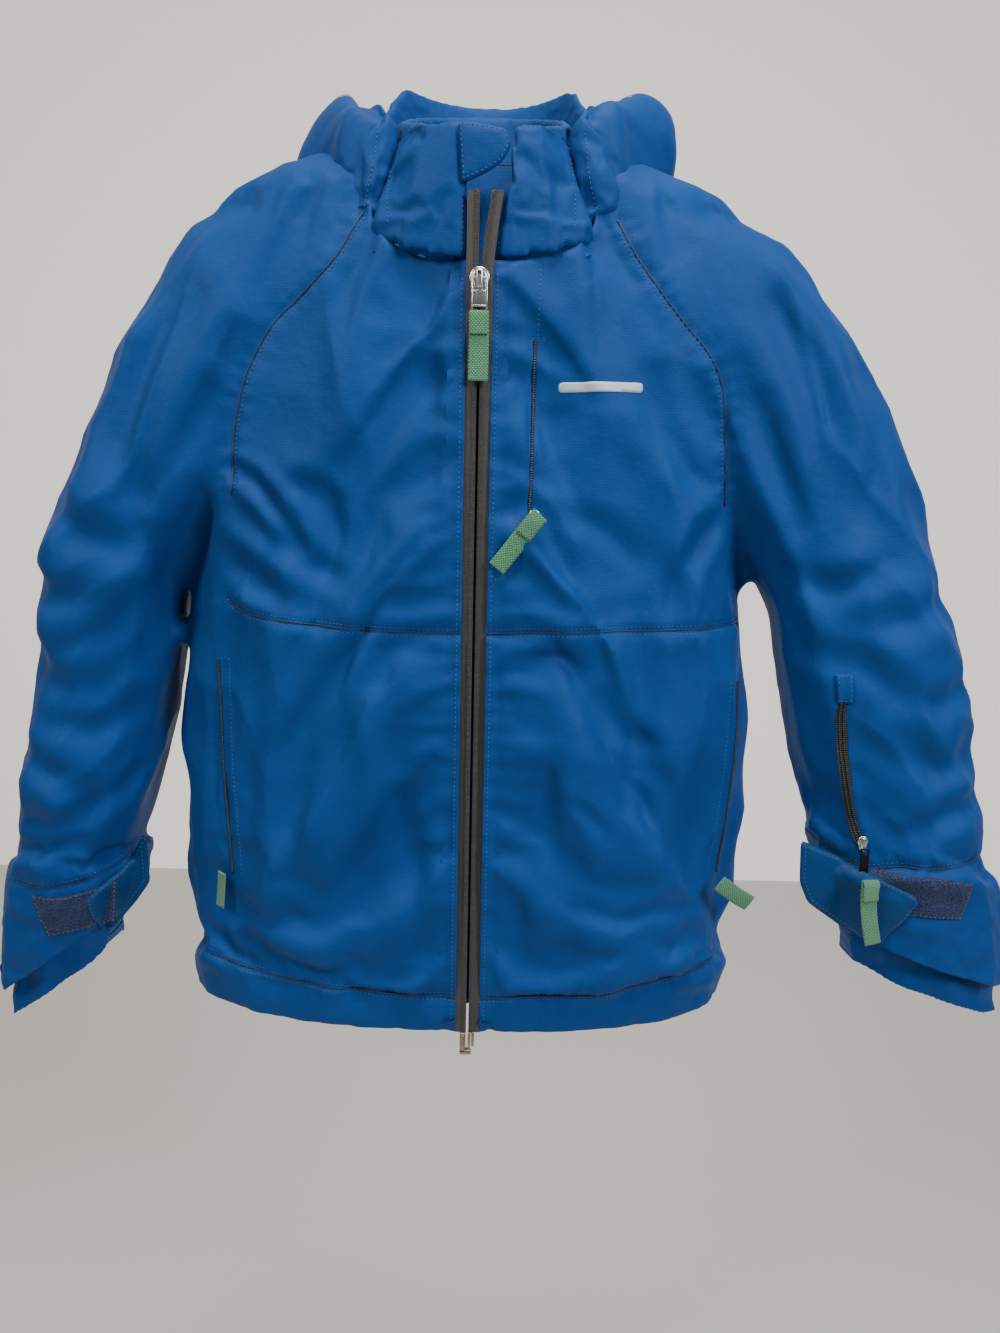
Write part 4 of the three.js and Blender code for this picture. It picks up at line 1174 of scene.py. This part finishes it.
# ---------------------------------------------------------------- Front zip
# Reversed coil zip, number 8: two brown-grey woven tapes, each with its moulded coil showing as
# a dimpled ridge along the inner edge.
def tape_cloth():
    mixed = Finish("zip_tape_brown", Sheen_Weight=0.15)
    x, y, z = mixed.parts(mixed.place())
    rib = (x * 2 * math.pi / 0.0009).wave() + (z * 2 * math.pi / 0.0008).wave() * 0.6
    dust = mixed.noise(60, 4, 0.6)
    mixed.give("Base Color",
               mixed.blend((dust * 1.1 - 0.1).held(), (0.028, 0.027, 0.028), (0.062, 0.056, 0.050)))
    mixed.give("Roughness", (dust * 0.25 + 0.5).held())
    mixed.give("Normal", mixed.bump(rib, 0.00025, 0.6))
    return mixed.material


tape_brown = tape_cloth()


def zip_half(side):
    sign = RIGHT if side == "right" else LEFT
    bm = bmesh.new()
    profile = [(8.9, 0.2), (7.8, 0.4), (6.2, 0.45), (4.6, 0.5), (4.1, 1.1), (3.2, 1.55),
               (2.1, 1.5), (1.2, 1.1), (0.9, 0.2), (0.9, -1.4)]
    rows = []
    for k in range(200):
        z = -48 - 580 * k / 199
        lean = max(0, (z + 98) / 50) ** 1.3 * 6.0 if side == "left" and z > -98 else 0
        if z < -98:
            lean = 0
        rows.append([bm.verts.new((sign * (u) / 1000 + lean / 1000, (-91.8 - v * 0.9) / 1000,
                                   z / 1000)) for u, v in profile])
    for a, b in zip(rows, rows[1:]):
        for j in range(len(profile) - 1):
            bm.faces.new((a[j], a[j + 1], b[j + 1], b[j]))
    # the coil's dimples: one small rounded tooth every two millimetres, in two staggered rows
    z = -49.0
    while z > -627:
        lean = max(0, (z + 98) / 50) ** 1.3 * 6.0 if side == "left" and z > -98 else 0
        for row, (u, half) in enumerate(((3.3, 0.95), (1.9, 0.7))):
            zz = z - row * 0.95
            cx, cy = sign * u + lean, -91.8 - 1.32
            ring = [bm.verts.new(((cx + half * c) / 1000, cy / 1000, (zz + 0.62 * d) / 1000))
                    for c, d in ((1, 0), (0.6, 0.8), (-0.6, 0.8), (-1, 0), (-0.6, -0.8),
                                 (0.6, -0.8))]
            top = bm.verts.new((cx / 1000, (cy - 0.75) / 1000, zz / 1000))
            for p, q in zip(ring, ring[1:] + ring[:1]):
                bm.faces.new((top, q, p))
        z -= 1.9
    bmesh.ops.recalc_face_normals(bm, faces=bm.faces)
    half_piece = new_piece(f"zip_{side}_tape", bm, tape_brown)
    belongs(half_piece, "jacket", "zip_tape", f"zip_half_{side}")
    return half_piece


for side in ("right", "left"):
    zip_half(side)


def metal(name, bright, dark, rough, wear=0.5):
    mixed = Finish(name, Metallic=1.0)
    scratches = mixed.noise(700, 5, 0.75)
    grime = (mixed.noise(260, 4, 0.6) - 0.48).held() * 3.0
    mixed.give("Base Color", mixed.blend((grime * wear).held(), bright, dark))
    mixed.give("Roughness", (scratches * 0.22 + grime * 0.2 + rough).held())
    mixed.give("Normal", mixed.bump(scratches, 0.00008, 0.5))
    return mixed.material


silver = metal("silver_metal", (0.83, 0.82, 0.79), (0.33, 0.32, 0.30), 0.14)
brass = metal("aged_brass", (0.42, 0.33, 0.22), (0.12, 0.095, 0.07), 0.3, 0.8)
black_metal = metal("black_metal", (0.035, 0.036, 0.04), (0.012, 0.012, 0.013), 0.28)


def bar_block(low, high, bevel=0.25):
    """A small bevelled block between two corners, in millimetres."""
    clear_selection()
    size = [(b - a) / 1000 for a, b in zip(low, high)]
    mesh_ops.primitive_cube_add(size=1, location=[(a + b) / 2000 for a, b in zip(low, high)],
                                scale=size)
    block = bpy.context.object
    ops.object.transform_apply(location=True, rotation=False, scale=True)
    ops.object.mode_set(mode="EDIT")
    mesh_ops.select_all(action="SELECT")
    mesh_ops.bevel(offset=min(bevel, min(size) * 1000 * 0.45) / 1000, segments=3)
    ops.object.mode_set(mode="OBJECT")
    return block


def plate_block(outline, front, rear, bevel=0.4):
    """A bevelled plate with an outline in x and z, between two depths, in millimetres."""
    clear_selection()
    mesh_ops.primitive_circle_add(vertices=len(outline), fill_type="NGON", radius=0.001)
    block = bpy.context.object
    for vertex, (x, z) in zip(block.data.vertices, outline):
        vertex.co = (x / 1000, front / 1000, z / 1000)
    block.location = (0, 0, 0)
    ops.object.mode_set(mode="EDIT")
    mesh_ops.select_all(action="SELECT")
    mesh_ops.extrude_region_move(TRANSFORM_OT_translate={"value": (0, (rear - front) / 1000, 0)})
    mesh_ops.select_all(action="SELECT")
    mesh_ops.normals_make_consistent(inside=False)
    mesh_ops.bevel(offset=bevel / 1000, segments=3)
    ops.object.mode_set(mode="OBJECT")
    return block


def joined(name, blocks, material, smooth_angle=40):
    clear_selection()
    for block in blocks:
        block.select_set(True)
    bpy.context.view_layer.objects.active = blocks[0]
    ops.object.join()
    piece = blocks[0]
    piece.name = piece.data.name = name
    ops.object.transform_apply(location=True, rotation=True, scale=True)
    ops.object.shade_smooth_by_angle(angle=math.radians(smooth_angle))
    piece.data.materials.clear()
    piece.data.materials.append(material)
    return piece


def teardrop(cx, top, width, height, count=28):
    out = []
    for k in range(count):
        a = 2 * math.pi * k / count
        r = 1 - 0.16 * math.cos(a) ** 2 * (1 if math.sin(a) < 0 else 0.2)
        half = width / 2 * (0.98 if math.sin(a) > 0 else 0.9)
        z = top - height * (0.42 - (0.42 if math.sin(a) > 0 else 0.58) * math.sin(a))
        out.append((cx + half * math.cos(a) * r, z))
    return out


# the slider's body, its raised rim, the lock window and the bridge that the pull hangs from
ZIP_FRONT = -93.0
slider = joined("front_zip_slider_body", [
    plate_block(teardrop(0, -96, 14.4, 19.5), ZIP_FRONT - 2.9, ZIP_FRONT - 0.9, 0.7),
    plate_block(teardrop(0, -97.4, 10.2, 14.5), ZIP_FRONT - 4.0, ZIP_FRONT - 2.7, 0.6),
    bar_block((-1.9, ZIP_FRONT - 7.6, -103.2), (1.9, ZIP_FRONT - 3.2, -99.0), 0.8),
    bar_block((-1.9, ZIP_FRONT - 7.6, -109.5), (1.9, ZIP_FRONT - 6.6, -99.6), 0.5),
    bar_block((-1.9, ZIP_FRONT - 7.4, -110.0), (1.9, ZIP_FRONT - 3.4, -108.2), 0.5),
    plate_block(teardrop(0, -96.6, 13.4, 18.5), ZIP_FRONT + 2.2, ZIP_FRONT + 3.4, 0.5),
    bar_block((-0.35, ZIP_FRONT - 1.2, -100), (0.35, ZIP_FRONT + 2.6, -97), 0.1),
], silver)
belongs(slider, "front_zip_slider", "silver_metal", "main_slider")
PULL_Y = -98.4
pull = joined("front_zip_pull_frame", [
    bar_block((-5.4, PULL_Y - 0.8, -127.2), (-4.2, PULL_Y + 0.8, -103.4)),
    bar_block((4.2, PULL_Y - 0.8, -127.2), (5.4, PULL_Y + 0.8, -103.4)),
    bar_block((-4.8, PULL_Y - 0.75, -104.8), (4.8, PULL_Y + 0.75, -103.2)),
    bar_block((-4.8, PULL_Y - 0.75, -113.0), (4.8, PULL_Y + 0.75, -111.8)),
    bar_block((-4.8, PULL_Y - 0.75, -122.0), (4.8, PULL_Y + 0.75, -120.8)),
    bar_block((-4.8, PULL_Y - 0.8, -127.4), (4.8, PULL_Y + 0.8, -126.0)),
], silver)
insert = joined("front_zip_pull_insert", [
    bar_block((-4.2, PULL_Y - 0.5, -120.8), (-1.6, PULL_Y + 0.4, -113.0), 0.15),
    bar_block((-1.5, PULL_Y - 0.55, -120.8), (4.2, PULL_Y + 0.35, -113.0), 0.3),
], metal("grey_insert", (0.20, 0.20, 0.21), (0.06, 0.06, 0.065), 0.35))
for piece in (pull, insert):
    belongs(piece, "front_zip_pull", "silver_metal")
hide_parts("main_pull_frame")
box = joined("zip_bottom_box", [
    bar_block((-5.2, -95.2, -642.5), (-1.0, -90.8, -627.5), 0.6),
    bar_block((0.6, -95.0, -641.0), (2.6, -91.6, -627.0), 0.6),
    bar_block((3.2, -94.6, -638.0), (5.2, -91.2, -627.0), 0.5),
    bar_block((-5.2, -95.2, -644.0), (3.0, -90.8, -640.5), 0.6),
    bar_block((-3.9, -95.9, -634.0), (-2.2, -94.8, -629.0), 0.4),
], brass)
belongs(box, "jacket", "antique_metal", "zip_box")

# ---------------------------------------------------------------- Webbing pulls
# Half-inch green polypropylene webbing, looped through each pull and stitched back on itself,
# so its upper third is double.
def webbing_green_cloth():
    mixed = Finish("webbing_green", Sheen_Weight=0.25)
    flat = mixed.node("ShaderNodeUVMap", {"uv_map": "weave"}).outputs[0]
    across, along, _ = mixed.parts(flat)
    warp, weft = 2 * math.pi / 0.0021, 2 * math.pi / 0.0023
    basket = (across * warp).wave() * (along * weft).wave()
    ribs = (across * warp * 2).wave() * 0.3 + (along * weft * 2).wave() * 0.3
    fuzz = mixed.noise(900, 3)
    dirt = (mixed.noise(150, 4, 0.65) - 0.5).held() * 2.2
    tone = mixed.blend((basket * 0.5 + fuzz * 0.4 + 0.3).held(), (0.045, 0.19, 0.095),
                       (0.13, 0.40, 0.215))
    mixed.give("Base Color", mixed.blend((dirt * 0.3).held(), tone, (0.09, 0.17, 0.10)))
    mixed.give("Roughness", (fuzz * 0.2 + 0.62).held())
    mixed.give("Normal", mixed.bump(basket + ribs + fuzz * 0.5, 0.0006, 0.9))
    return mixed.material


webbing_green = webbing_green_cloth()


def swept_strip(name, track, across, width, thick, material, wobble=0.0):
    """A flat strip along a track of points, with rounded edges and a weave map. Metres."""
    bm = bmesh.new()
    weave = bm.loops.layers.uv.new("weave")
    section = []
    for k in range(12):
        a = 2 * math.pi * (k + 0.5) / 12
        u = max(-1, min(1, 1.06 * math.cos(a)))
        section.append((u * width / 2, math.sin(a) * thick / 2 * (1 if abs(u) < 0.95 else 0.7)))
    track = [Vector(p) for p in track]
    rows, stations, run = [], [], 0.0
    for k, p in enumerate(track):
        way = (track[min(k + 1, len(track) - 1)] - track[max(k - 1, 0)]).normalized()
        side = (Vector(across) - way * way.dot(Vector(across))).normalized()
        face = side.cross(way)
        if k:
            run += (p - track[k - 1]).length
        stations.append(run)
        swell = 1 + wobble * math.sin(run * 1900)
        rows.append([bm.verts.new(p + side * u * swell + face * v) for u, v in section])
    def put_face(corners, marks):
        face = bm.faces.new(corners)
        for loop, mark in zip(face.loops, marks):
            loop[weave].uv = mark
    for a, b, s0, s1 in zip(rows, rows[1:], stations, stations[1:]):
        for j in range(12):
            k = (j + 1) % 12
            put_face((a[j], a[k], b[k], b[j]),
                     ((section[j][0], s0), (section[k][0], s0), (section[k][0], s1),
                      (section[j][0], s1)))
    put_face(list(reversed(rows[0])), [(u, 0) for u, _ in reversed(section)])
    put_face(rows[-1], [(u, run) for u, _ in section])
    bmesh.ops.recalc_face_normals(bm, faces=bm.faces)
    return new_piece(name, bm, material)


def path(points, step=0.0011):
    points = [Vector(p) / 1000 for p in points]
    ends = [2 * points[0] - points[1]] + points + [2 * points[-1] - points[-2]]
    out = []
    for a, b, c, d in zip(ends, ends[1:], ends[2:], ends[3:]):
        count = max(2, int((c - b).length / step))
        for k in range(count):
            t = k / count
            out.append(0.5 * (2 * b + (c - a) * t + (2 * a - 5 * b + 4 * c - d) * t * t
                              + (3 * b - a - 3 * c + d) * t ** 3))
    out.append(points[-1])
    return out


def join_strips(made, name):
    clear_selection()
    for piece in made:
        piece.select_set(True)
    bpy.context.view_layer.objects.active = made[0]
    if len(made) > 1:
        ops.object.join()
    made[0].name = name


def webbing_pull(name, strips, body, *nodes):
    made = [swept_strip(name, path(points), across, width / 1000, thick / 1000, webbing_green,
                        wobble=0.018)
            for points, across, width, thick in strips]
    join_strips(made, name)
    belongs(made[0], body, "green_webbing", *nodes)


ACROSS = (1, 0, 0)
webbing_pull("front_pull_webbing", [
    ([(0, -97.9, -125.6), (0.2, -97.7, -140), (0.1, -97.5, -155), (0, -97.6, -168.5)], ACROSS,
     13.2, 1.3),
    ([(0, -98.4, -124.4), (0, -99.5, -126.5), (0, -99.3, -133), (0.1, -99.0, -139.2)], ACROSS,
     12.6, 1.3),
], "front_zip_pull", "main_pull_webbing")
chest_across = (0.788, 0, -0.616)
webbing_pull("chest_pull_webbing", [
    ([(41.0, -98.6, -257), (33, -98.6, -267), (24, -98.2, -279), (14.5, -98.4, -291)],
     chest_across, 12.6, 1.3),
    ([(43.5, -99.4, -254.5), (39, -100.6, -259.5), (35, -100.2, -265), (32.0, -99.7, -269)],
     chest_across, 12.0, 1.3),
], "chest_zip_pull", "chest_webbing")
webbing_pull("sleeve_pull_webbing", [
    ([(289, -81.6, -511), (288.5, -83.4, -524), (290, -84.2, -540), (294, -83.6, -558)],
     (1, 0.1, 0.1), 12.2, 1.3),
    ([(289.5, -82.0, -510), (289.5, -85.2, -513), (289, -85.6, -519), (289.5, -85.2, -525)],
     (1, 0.1, 0.1), 11.6, 1.4),
], "sleeve_zip_pull", "sleeve_pocket_webbing")
webbing_pull("hand_left_pull_webbing", [
    ([(183, -71, -519), (190, -70, -524), (199, -66, -531), (209, -60, -538)], (-0.55, 0, -0.83),
     12.6, 1.5),
], "hand_zip_slider_left", "hand_left_pull")
webbing_pull("hand_right_pull_webbing", [
    ([(-183, -70.0, -519), (-184, -68.5, -530), (-185.5, -67.5, -546)], (0.8, -0.6, 0), 9, 1.3),
], "hand_zip_slider_right", "hand_right_pull")

# ---------------------------------------------------------------- Cuff rows and painted seam shadows
# The last two rows of thread round each cuff, and a dark strip of painted shadow along every sewn
# seam.
sew("cuff_stitching_right",
    [on_cloth(cloth_tree,
              closer([(-362.2, -631.5), (-317.5, -612.8), (-298.3, -601.4), (-288.5, -590.3)],
                     0.0015)),
                             on_cloth(cloth_tree,
                                      closer([(-345, -528), (-307, -530), (-272, -521),
                                              (-256, -503)], 0.0015))], "forearm_right")
sew("cuff_stitching_left",
    [on_cloth(cloth_tree,
              closer([(323.6, -574.3), (352.6, -586.7), (384.0, -594.9), (407.3, -598.3)], 0.0015)),
                            on_cloth(cloth_tree,
                                     closer([(250, -482), (286, -502), (315, -500), (344, -499),
                                             (381, -497)], 0.0015))], "forearm_left")

# A dark strip laid in the bottom of each sewn seam: painted shadow, a dark line between the two
# panels where the seam's fold is in shade.
seam_dark = thread_finish("seam_dark", (0.0008, 0.012, 0.05))
for name, line in SEAMS.items():
    body = "jacket"
    if name.startswith("cuff"):
        body = "forearm_" + name[5:]
    track = on_cloth(cloth_tree, closer(line, 0.002))
    spots = [spot + normal * 0.0003 for spot, normal in track]
    for _ in range(3):
        spots = [spots[0]] + [(a + b * 2 + c) / 4 for a, b,
                              c in zip(spots, spots[1:], spots[2:])] + [spots[-1]]
    across = (1, 0, 0) if name.startswith("raglan") else (0, 0, 1)
    # each strip is painted shadow: a dark line where the seam's fold is in shade
    fold = swept_strip(f"seam_fold_{name}", spots, across, 0.0011, 0.0007, seam_dark)
    belongs(fold, body, "blue_shell")

# ---------------------------------------------------------------- Pocket zips
# Concealed coil zips under a welt at the chest and hands, and a bare black coil zip on the left
# forearm, with a blue garage over its closed end.
def black_coil_finish():
    mixed = Finish("black_coil", Specular_IOR_Level=0.4)
    x, y, z = mixed.parts(mixed.place())
    rib = (z * 2 * math.pi / 0.0016).wave()
    dust = mixed.noise(200, 4, 0.6)
    mixed.give("Base Color",
               mixed.blend((dust * 0.8).held(), (0.006, 0.007, 0.009), (0.03, 0.032, 0.038)))
    mixed.give("Roughness", (dust * 0.25 + 0.35).held())
    mixed.give("Normal", mixed.bump(rib + dust * 0.4, 0.0004, 0.8))
    return mixed.material


black_coil = black_coil_finish()


def zip_on_cloth(name, line, body, widths, node):
    """Strips of zip lying along a line on the cloth: (offset, width, thickness, lift) each."""
    made = []
    track = on_cloth(cloth_tree, closer(line, 0.0022))
    for offset, width, thick, lift in widths:
        spots = [spot + Vector((offset / 1000, 0, 0)) + normal * lift / 1000 for spot,
                 normal in track]
        for _ in range(6):
            spots = [spots[0]] + [(a + b * 2 + c) / 4 for a, b,
                                  c in zip(spots, spots[1:], spots[2:])] + [spots[-1]]
        made.append(swept_strip(name, spots, (1, 0, 0), width / 1000, thick / 1000, black_coil))
    join_strips(made, name)
    belongs(made[0], body, "black_coil", node)


zip_on_cloth("chest_pocket_slit", POCKET_LINES["chest"], "jacket", [(0, 1.8, 0.8, 0.8)],
             "chest_zip")
zip_on_cloth("hand_right_slit", POCKET_LINES["hand_right"], "jacket", [(0, 1.6, 0.8, 0.8)],
             "hand_right_zip")
zip_on_cloth("hand_left_slit", POCKET_LINES["hand_left"], "jacket", [(0, 1.6, 0.8, 0.8)],
             "hand_left_zip")
zip_on_cloth("sleeve_pocket_coil", POCKET_LINES["sleeve"], "forearm_left",
             [(0, 8.4, 0.8, 1.0), (-1.5, 1.9, 1.7, 1.5), (1.5, 1.9, 1.7, 1.5)], "sleeve_pocket_zip")
GARAGE = [(256.5, -362), (268.5, -361), (270, -382), (259.5, -382.5)]
garage, _ = patch("sleeve_zip_garage", GARAGE, 1.6, 1.0, shell_blue, radius=1.5, step=1.4)
belongs(garage, "forearm_left", "blue_shell")
round_edge("sleeve_garage_stitching", GARAGE, 1.5, "forearm_left", tree=surface_tree(garage))
sew("chest_pocket_stitching", [
    on_cloth(cloth_tree, closer([(40, -92), (39.6, -115), (39.2, -137)], 0.0015)),
    on_cloth(cloth_tree, closer([(36.5, -138.2), (40, -138), (44.5, -138)], 0.001)),
    on_cloth(cloth_tree, closer([(36.6, -139.6), (40, -139.4), (44.5, -139.4)], 0.001)),
    on_cloth(cloth_tree, closer([(31, -258), (24, -276), (12, -304)], 0.0015)),
], "jacket")
sew("hand_pocket_stitching", [
    on_cloth(cloth_tree, closer([(-177, -362), (-175, -410), (-172, -465), (-168, -521)], 0.0015)),
    on_cloth(cloth_tree, closer([(-186, -361), (-181, -361), (-176, -361)], 0.001)),
    on_cloth(cloth_tree, closer([(186, -372), (185, -420), (182, -470), (177, -518)], 0.0015)),
], "jacket")

# small sliders: a rounded body with a lifted ring for the pull
def small_slider(name, x, z, front, body, node):
    slider = joined(name, [
        plate_block(teardrop(x, z + 5, 8.4, 11), front - 1.9, front - 0.4, 0.5),
        bar_block((x - 1.0, front - 4.4, z - 5.2), (x + 1.0, front - 3.5, z + 3.6), 0.4),
        bar_block((x - 1.0, front - 4.4, z + 1.6), (x + 1.0, front - 1.2, z + 3.6), 0.4),
        bar_block((x - 1.0, front - 4.4, z - 5.6), (x + 1.0, front - 1.4, z - 4.0), 0.4),
    ], silver)
    belongs(slider, body, "silver_metal", node)


def cloth_front(x, z):
    return on_cloth(cloth_tree, [(x / 1000, z / 1000)])[0][0].y * 1000


small_slider("sleeve_zip_slider_body", 287.6, -487, cloth_front(287.6, -487) - 1.0,
             "sleeve_zip_slider", "sleeve_pocket_slider")
small_slider("chest_zip_slider_body", 39.5, -256, cloth_front(39.5, -256) + 0.4,
             "chest_zip_slider", "chest_slider")
pull_front = cloth_front(288, -500) - 3.2
long_pull = joined("sleeve_long_pull", [
    bar_block((284.9, pull_front - 0.9, -513.5), (286.3, pull_front + 0.3, -490), 0.4),
    bar_block((289.9, pull_front - 0.9, -513.5), (291.3, pull_front + 0.3, -490), 0.4),
    bar_block((285, pull_front - 0.9, -491.5), (291.2, pull_front + 0.3, -489.9), 0.4),
    bar_block((285.5, pull_front - 0.6, -508), (290.8, pull_front + 0.1, -494.5), 0.3),
    bar_block((285, pull_front - 0.9, -514), (291.2, pull_front + 0.3, -512.4), 0.4),
], black_metal)
belongs(long_pull, "sleeve_zip_pull", "black_metal", "sleeve_pocket_pull")

# ---------------------------------------------------------------- Inner cuffs
# A soft inner sleeve end of shell cloth that shows below each cuff and closes round the glove.
for side in ("right", "left"):
    cuff_bm = cad_mesh(f"inner_cuff_{side}")
    bmesh.ops.subdivide_edges(cuff_bm, edges=cuff_bm.edges, cuts=3, use_grid_fill=True)
    inner = new_piece(f"inner_cuff_{side}_cloth", cuff_bm, shell_blue)
    apply_modifier(inner, "REMESH", mode="VOXEL", voxel_size=0.0014)
    apply_modifier(inner, "SMOOTH", factor=0.5, iterations=4)
    spots, ways = points_of(inner), normals_of(inner)
    ripple = 0.0012 * np.sin(spots[:, 0] * 190
                             + spots[:, 2] * 60) + 0.0008 * np.sin(spots[:, 2] * 240
                                 + spots[:, 1] * 90)
    ring = np.c_[spots[:, 0] - spots[:, 0].mean(), spots[:, 1] - spots[:, 1].mean(),
                 np.zeros(len(spots))]
    ring /= np.linalg.norm(ring, axis=1)[:, None] + 1e-9
    set_points(inner, spots + ring * ripple[:, None])
    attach(inner, f"forearm_{side}")
    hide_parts(f"inner_cuff_{side}")

# ---------------------------------------------------------------- Hood
# Two-layer hood of shell cloth and grey lining, thrown back. Its face edge stands up beside the
# collar as a lobe; outside it the lining shows in the fold, and the crown lies round the back.
HOOD_ROUND = [
    (-36, [(9, -60), (5, -38), (0, -14), (-2, 3), (4, 9), (8, 12), (12, 12), (16, 10), (20, 5),
           (23, -10), (24, -30), (22, -46), (15, -58), (7, -62)]),
    (-20, [(4, -60), (2, -25), (-1, 10), (5, 24), (10, 32), (15, 36), (20, 38), (26, 37), (32, 33),
           (38, 22), (41, -5), (39, -35), (28, -54), (12, -62)]),
    (6, [(3, -55), (3, 5), (4, 22), (9, 32), (14, 26), (19, 18), (27, 42), (36, 54), (48, 55),
         (60, 48), (69, 32), (71, -8), (52, -46), (22, -58)]),
    (42, [(2, -50), (2, 5), (4, 58), (9, 72), (15, 58), (21, 32), (28, 40), (36, 54), (46, 58),
          (56, 48), (64, 20), (60, -20), (38, -48), (14, -56)]),
    (90, [(2, -45), (2, 5), (4, 56), (9, 68), (16, 54), (24, 28), (32, 38), (38, 56), (46, 62),
          (55, 50), (61, 18), (56, -24), (34, -54), (11, -60)]),
    (138, [(2, -50), (2, 5), (4, 58), (9, 71), (15, 58), (21, 30), (28, 38), (36, 50), (46, 52),
           (56, 42), (64, 16), (60, -20), (38, -48), (14, -56)]),
    (176, [(3, -55), (3, 5), (4, 18), (8, 27), (13, 22), (18, 14), (25, 36), (32, 50), (42, 48),
           (54, 39), (64, 26), (72, -2), (52, -46), (22, -58)]),
    (201, [(4, -60), (2, -25), (-1, 8), (5, 20), (10, 26), (15, 28), (20, 28), (27, 27), (34, 24),
           (41, 13), (44, -8), (40, -36), (28, -54), (12, -62)]),
    (216, [(9, -60), (5, -38), (0, -14), (-2, 2), (4, 8), (8, 10), (12, 11), (17, 11), (22, 8),
           (26, -4), (27, -28), (24, -46), (16, -58), (7, -62)]),
]


def hood_section(angle):
    """The hood's closed outline at an angle round the neck, between the given stations."""
    for (a0, s0), (a1, s1) in zip(HOOD_ROUND, HOOD_ROUND[1:]):
        if a0 <= angle <= a1 + 1e-6:
            t = (angle - a0) / (a1 - a0)
            t = t * t * (3 - 2 * t)
            return [(p[0] * (1 - t) + q[0] * t, p[1] * (1 - t) + q[1] * t) for p, q in zip(s0, s1)]


hood_bm = bmesh.new()
rings, angle_of = [], []
for k in range(143):
    angle = -36 + 252 * k / 142
    angle_of.append(angle)
    way = math.radians(angle)
    round_collar = 1 / math.hypot(math.cos(way) / 70, math.sin(way) / 77)
    section = hood_section(angle)
    loop = []
    for j in range(14):
        p0, p1, p2, p3 = (Vector(section[(j + i) % 14]) for i in (-1, 0, 1, 2))
        for t in (0, 0.25, 0.5, 0.75):
            loop.append(0.5 * (2 * p1 + (p2 - p0) * t + (2 * p0 - 5 * p1 + 4 * p2 - p3) * t * t
                               + (3 * p1 - p0 - 3 * p2 + p3) * t ** 3))
    ring = []
    for n, p in enumerate(loop):
        # slow folds that run across the roll, deepest on the outer side
        outerness = max(0, min(1, (p.x - 25) / 40))
        fold = outerness * (5.0 * math.sin(way * 5 + 0.8 * math.sin(p.y * 0.03))
                            + 2.4 * math.sin(way * 11 + p.y * 0.02))
        lift = 1.5 * math.sin(way * 4 + 1.0) * (1 if p.y > 20 else 0.3)
        radius = round_collar + p.x + fold * 0.8
        ring.append(hood_bm.verts.new((radius * math.cos(way) / 1000,
                                       (radius * math.sin(way) - 13) / 1000, (p.y + lift) / 1000)))
    rings.append(ring)
valley = []
for a, b in zip(rings, rings[1:]):
    for j in range(56):
        face = hood_bm.faces.new((a[j], b[j], b[(j + 1) % 56], a[(j + 1) % 56]))
        valley.append(14 <= j <= 27 and -6 < angle_of[len(valley) // 56] < 184)
hood_bm.faces.new(list(reversed(rings[0])))
hood_bm.faces.new(rings[-1])
valley += [False, False]
bmesh.ops.recalc_face_normals(hood_bm, faces=hood_bm.faces)
hood_plan = BVHTree.FromBMesh(hood_bm)
hood = new_piece("hood_whole", hood_bm)
apply_modifier(hood, "REMESH", mode="VOXEL", voxel_size=0.0042)
apply_modifier(hood, "SMOOTH", factor=0.5, iterations=3)
start = points_of(hood)
x, y, z = start.T
close = np.hypot(x / 0.07, (y + 0.013) / 0.077)
crumple_as_cloth(
    hood, start, np.clip(0.012 + 0.8 * (close < 1.12) + 0.3 * (z < -0.05), 0, 0.9),
    furthest=0.009, frames=22, gravity=0.3, quality=5, mass=0.25,
    tension_stiffness=16, compression_stiffness=16, bending_stiffness=0.7,
    shrink_min=-0.085, shrink_max=-0.085, uniform_pressure_force=-0.25)
apply_modifier(hood, "SMOOTH", factor=0.5, iterations=1)
apply_modifier(hood, "SUBSURF", levels=1, render_levels=1)
hood_bm = bmesh.new()
hood_bm.from_mesh(hood.data)


def hood_part(spot):
    if valley[hood_plan.find_nearest(spot)[2]]:
        return "hood_fold"
    return "hood_center" if abs(spot.x) < 0.046 else ("hood_right" if spot.x < 0 else "hood_left")


parts = part_cloth(hood_bm, hood_part, "_cloth", shell_blue)
hood_bm.free()
hood_tree = surface_tree(hood)
sew("hood_stitching", [
    on_cloth(hood_tree, closer([(68, 2), (71, -26), (78, -52)], 0.0015)),
    on_cloth(hood_tree, closer([(80, -56), (92, -53), (102, -46)], 0.0015)),
    on_cloth(hood_tree, closer([(-71, 0), (-74, -26), (-80, -54)], 0.0015)),
], "jacket")
bpy.data.objects.remove(hood)
for name, piece in parts.items():
    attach(piece, "jacket")
    if name == "hood_fold":
        piece.data.materials.clear()
        piece.data.materials.append(lining_grey)
        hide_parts("hood_lining")
    else:
        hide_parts(name)
